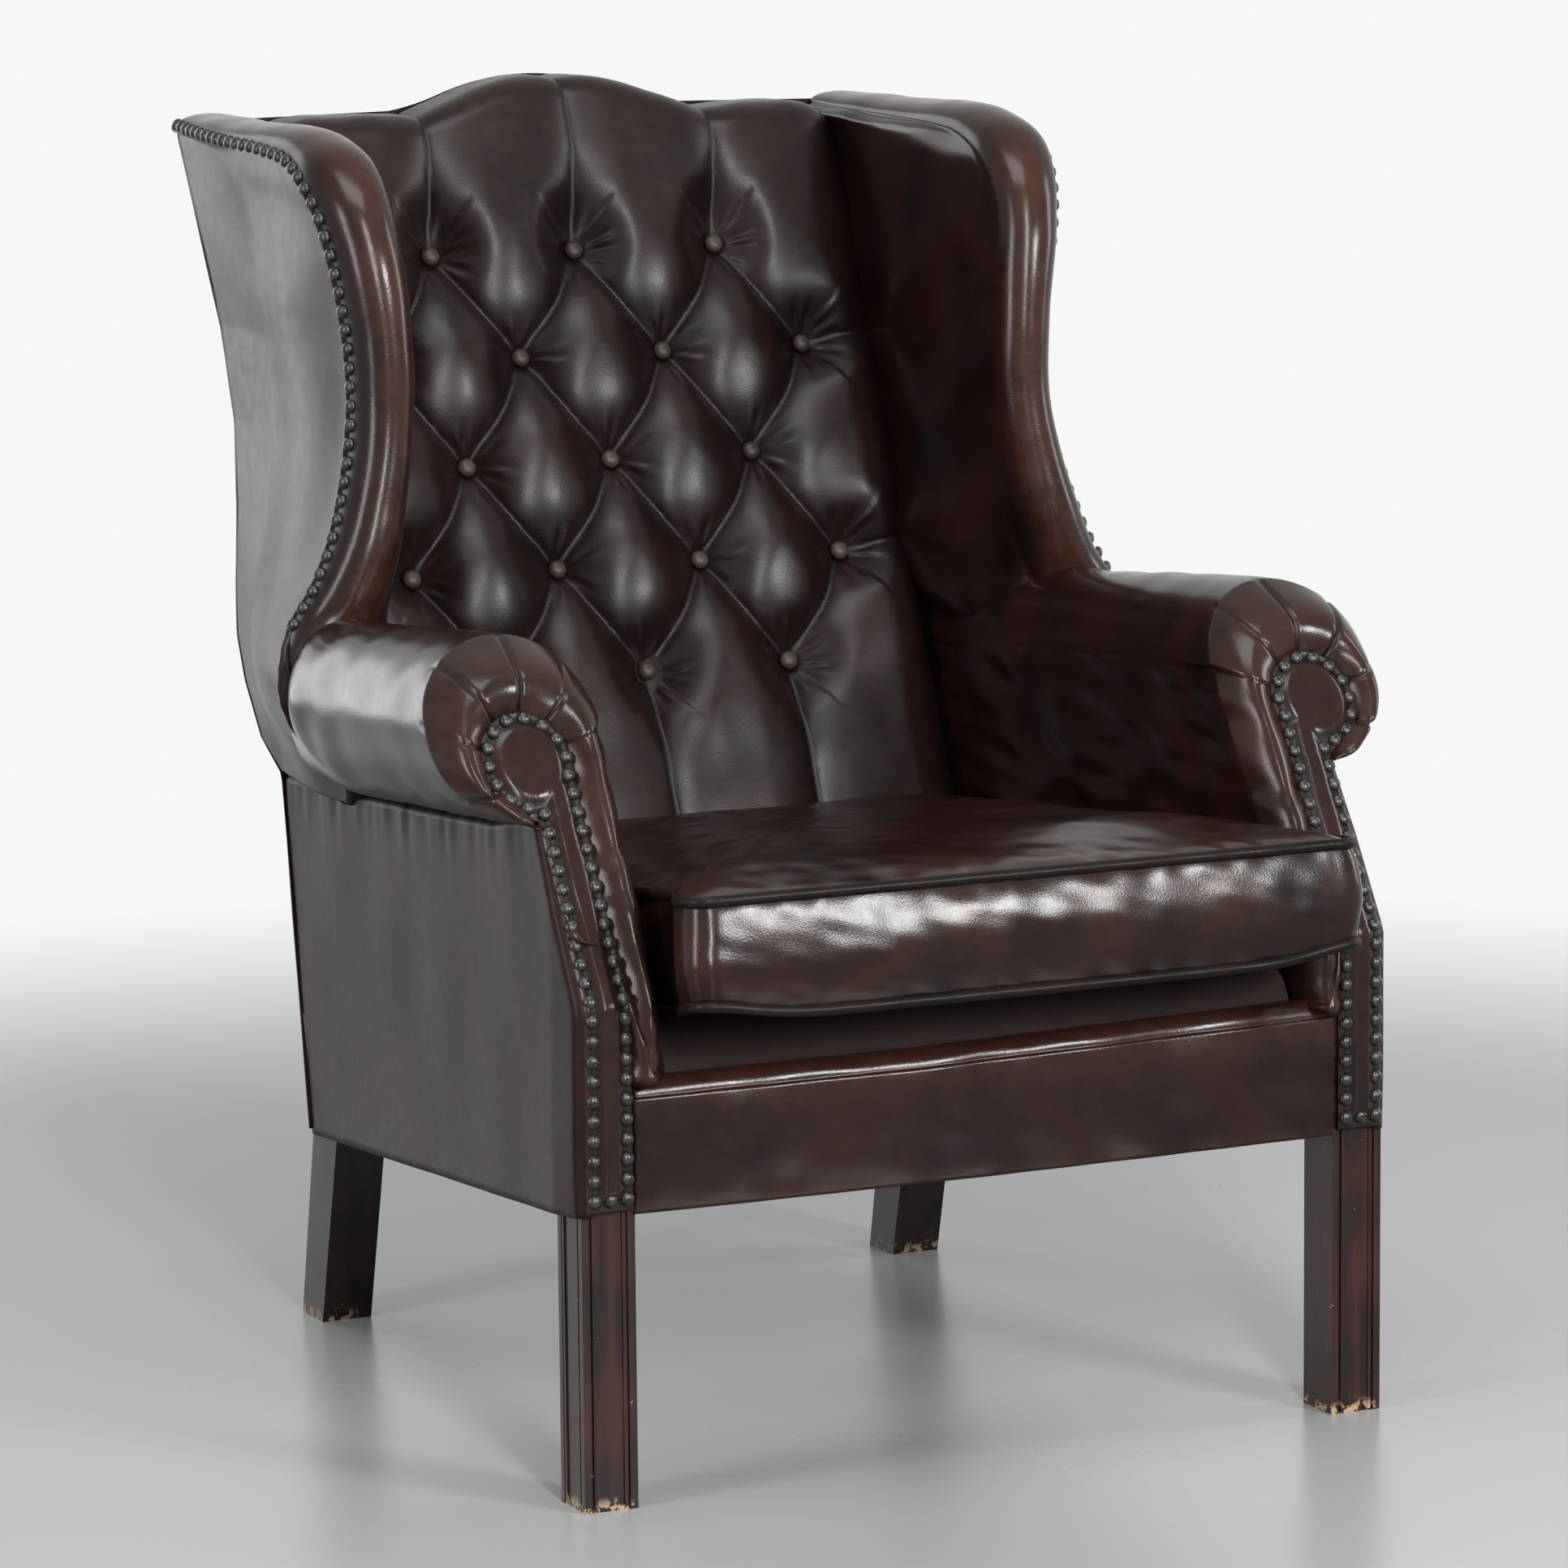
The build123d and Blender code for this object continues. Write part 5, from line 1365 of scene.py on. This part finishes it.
# Front border: a padded leather strip over the front rail, between the facings. It is rolled
# over the rail's top edge and tacked behind it, and a little belly shows in its face.
border_half = 0.3168
border_low = 0.2375
border_low_bow = 0.0015
border_top = 0.3455
border_tilt = 0.0055
border_least = 0.3442
border_round = 0.014
border_face = 0.0040
border_belly = 0.0024
across = np.linspace(-1, 1, 150)[:, None]
climb = np.linspace(0, 1, 34)[None, :]
turn = np.linspace(0, math.pi / 2, 16)[None, :]
low = border_low - border_low_bow * np.cos(across * math.pi / 2)
high = np.maximum(border_top + border_tilt * across, border_least) - border_round
belly = border_belly * np.sin(math.pi * climb) ** 0.7 * (1 - across ** 16)
behind_y = np.array([0.016, 0.026, 0.035, 0.0055, 0.0, 0.0])[None, :]
y = np.concatenate([
    -border_face - belly,
    border_round - border_face - border_round * np.cos(turn) + 0 * across,
    behind_y + 0 * across,
], 1)
z = np.concatenate([
    low + (high - low) * climb,
    high + border_round * np.sin(turn),
    high + 0.0138, high + 0.0128, high + 0.006, high - 0.008, (low + high) / 2, low,
], 1)
y[:, :50] += 0.0007 * ripple(border_half * across * 0.6, z[:, :50] * 1.3, 0.055, 81)
rings = np.stack([border_half * across + 0 * y, y, z], -1)
rub = 0.35 * smooth_step(z, 0.300, 0.338) + 0.30 * (1 - smooth_step(z, 0.238, 0.252)) + 0.12
upholster(shell("border", rings, rub=rub, fold=0 * rub), ["front_border"], cover_leather)

# Cushion: a loose cushion of feather round a core, in two hides with a boxed side between two
# piped welts. Its front corners reach round in front of the arms. The sides belly out and are
# creased, and the top is crowned.
cushion_lower = 0.151
cushion_upper = 0.243
cushion_crown = 0.036
cushion_middle = 0.225
cushion_belly = 0.0095
corner_lift = 0.011
cushion_corners = [
    (0.294, -0.098, 0.030), (0.294, -0.060, 0.028), (0.275, -0.018, 0.034), (0.266, 0.548, 0.030),
]
cushion_corners += [(-across, along, radius) for across, along, radius in cushion_corners[::-1]]


def rounded_loop(corners, count):
    """Points spread evenly round a polygon whose rows are (across, along, corner radius), and its
    girth. At each corner an arc of that radius touches both sides."""
    points = []
    for k, (x, y, radius) in enumerate(corners):
        here = np.array([x, y])
        back = np.array(corners[k - 1][:2]) - here
        ahead = np.array(corners[(k + 1) % len(corners)][:2]) - here
        reach = min(np.linalg.norm(back), np.linalg.norm(ahead)) / 2
        back, ahead = unit(back), unit(ahead)
        half_angle = math.acos(np.clip(back @ ahead, -1, 1)) / 2
        radius = min(radius, reach * math.tan(half_angle))
        middle = here + unit(back + ahead) * radius / math.sin(half_angle)
        start = here + back * radius / math.tan(half_angle) - middle
        end = here + ahead * radius / math.tan(half_angle) - middle
        first = math.atan2(start[1], start[0])
        sweep = (math.atan2(end[1], end[0]) - first + math.pi) % (2 * math.pi) - math.pi
        turn = first + sweep * np.linspace(0, 1, 14)
        points.append(middle + radius * np.stack([np.cos(turn), np.sin(turn)], -1))
    points = np.vstack(points)
    points = np.vstack([points, points[:1]])
    travel = travelled(points)
    places = np.linspace(0, travel[-1], count, endpoint=False)
    return np.stack([np.interp(places, travel, points[:, k]) for k in (0, 1)], -1), travel[-1]


loop, girth = rounded_loop(cushion_corners, 460)
travel = np.linspace(0, girth, len(loop), endpoint=False)
from_corner = (abs(loop[:, 0]) - 0.29) ** 2 + (loop[:, 1] + 0.095) ** 2
corner_rise = corner_lift * np.exp(-(from_corner / 0.055 ** 2))


def cushion_ring(spread, rise, swell=0.0, lift=0.0):
    """The cushion's outline drawn in to a share of its size about its middle, then swelled out
    from there, at a rise and a further lift over the seat."""
    out = loop - (0, cushion_middle)
    points = out * spread + unit(out) * np.asarray(swell)[..., None] + (0, cushion_middle)
    return np.stack([points[:, 0], points[:, 1], rise + lift + 0 * points[:, 0]], -1)


# The shades are painted shade: the underside is darker, and dark bands lie beside the welts on the
# boxing and the top.
rings, shades, rubs = [], [], []
for spread in (0.05, 0.3, 0.6, 0.85, 0.96, 0.99):
    rise = cushion_lower - 0.004 * smooth_step(1 - spread, 0, 0.1)
    rings.append(cushion_ring(spread, rise, 0, corner_rise))
    shades.append(0 * travel + 0.3)
    rubs.append(0 * travel + 0.1)
for high in np.linspace(0, 1, 34):
    belly = cushion_belly * math.sin(math.pi * high) ** 0.65
    dents = 0.0011 * ripple(travel, high * 0.16, 0.15, 91)
    dents = dents + 0.0003 * ripple(travel * 0.8, high * 0.15, 0.036, 92)
    pucker = 0.0006 * np.sin(travel / 0.0065 + 2 * ripple(travel, 0, 0.1, 93))
    near = math.exp(-(high / 0.14) ** 2) + math.exp(-((1 - high) / 0.14) ** 2)
    swell = belly + dents * math.sin(math.pi * high) ** 0.5 + pucker * near
    rise = cushion_lower + (cushion_upper - cushion_lower) * high
    rings.append(cushion_ring(1, rise, swell, corner_rise * (1 - high) ** 1.3))
    shades.append(0 * travel + 0.75 * math.exp(-(min(high, 1 - high) / 0.035) ** 2))
    rubs.append(0.16 + 0.22 * ripple(travel, high * 0.09, 0.10, 94) * math.sin(math.pi * high))
spreads = np.concatenate([
    1 - np.linspace(0, 1, 14)[1:] ** 1.5 * 0.1, np.linspace(0.885, 0.02, 60),
])
for spread in spreads:
    crown = cushion_crown * (1 - spread ** 2.6) ** 0.8
    x, y = loop[:, 0] * spread, (loop[:, 1] - cushion_middle) * spread
    edge = math.exp(-((1 - spread) / 0.05) ** 2)
    folds = 0.0013 * ripple(x * 0.5, y * 1.1, 0.14, 95)
    folds = folds + 0.00025 * ripple(x * 0.8, y * 1.2, 0.040, 96)
    pucker = 0.0010 * np.sin(travel / 0.0075 + 2 * ripple(travel, 0, 0.12, 97)) * edge
    lift = crown + folds * smooth_step(1 - spread, 0, 0.06) + pucker
    rings.append(cushion_ring(spread, cushion_upper, 0, lift))
    shades.append(0 * travel + 0.7 * math.exp(-((1 - spread) / 0.010) ** 2))
    rubs.append(0 * travel + 0.28 * math.exp(-((1 - spread) / 0.12) ** 2) + 0.06)
rings = np.array(rings)
rings = on_seat(rings[..., 0], rings[..., 1], rings[..., 2])
cushion = shell("cushion", rings, fold=np.array(shades), rub=np.array(rubs))
upholster(cushion, ["seat_cushion"], cover_leather, body="cushion")

# Piping: a cord in each of the cushion's two seams, covered with a strip of darker leather.
# It runs all the way round and follows the bottom seam up at the front corners.
piping_leather = leather(
    "piping_leather", gloss=0.3, shine=0.08,
    Hide=(0.008, 0.005, 0.005, 1), Dark=(0.004, 0.003, 0.003, 1),
)
welt_radius = 0.0046
welt_stand = 0.0028
turn = np.linspace(0, 2 * math.pi, 14, endpoint=False)
welts = []
for rise, lift in ((cushion_lower, corner_rise), (cushion_upper, 0)):
    line = cushion_ring(1.0, rise, welt_stand, lift)
    away = unit(line[:, :2] - (0, cushion_middle))
    wave = 0.0005 * ripple(travel, 0, 0.06, 98)
    tube_x = line[:, :1] + away[:, :1] * (welt_radius * np.cos(turn) + wave[:, None])
    tube_y = line[:, 1:2] + away[:, 1:] * (welt_radius * np.cos(turn) + wave[:, None])
    tube_z = line[:, 2:] + welt_radius * np.sin(turn)
    welts.append(on_seat(tube_x, tube_y, tube_z))
upholster(
    merged("welts", welts, joined=True), ["cushion_piping"], piping_leather,
    body="cushion",
)

# Dust cover: thin black cambric tacked under the seat frame and cut in between the rear legs.
# It closes the underside and sags a little in the middle.
dust_rise = 0.0014
dust_sag = 0.008
dust_front_half = 0.350
dust_closing = 0.0870
along = np.concatenate([np.linspace(0.006, 0.655, 50), np.linspace(0.658, 0.698, 6)])
half = np.where(along < post_front, dust_front_half - dust_closing * along, post_half)
share = np.linspace(-1, 1, 40)[None, :]
hang = np.sin(math.pi * np.clip((along[:, None] - 0.03) / 0.62, 0, 1))
hang = hang * np.cos(share * math.pi / 2) ** 0.8
cover, area = laid_sheet("dust_cambric", along, half, dust_rise - dust_sag * hang)
cambric = cloth("black_cambric", (0.018, 0.018, 0.019, 1), (0.006, 0.006, 0.007, 1), 400)
lay(cover, ["dust_cover"], "black_cambric", cambric, flat=(0.70, 0.692), area=area)
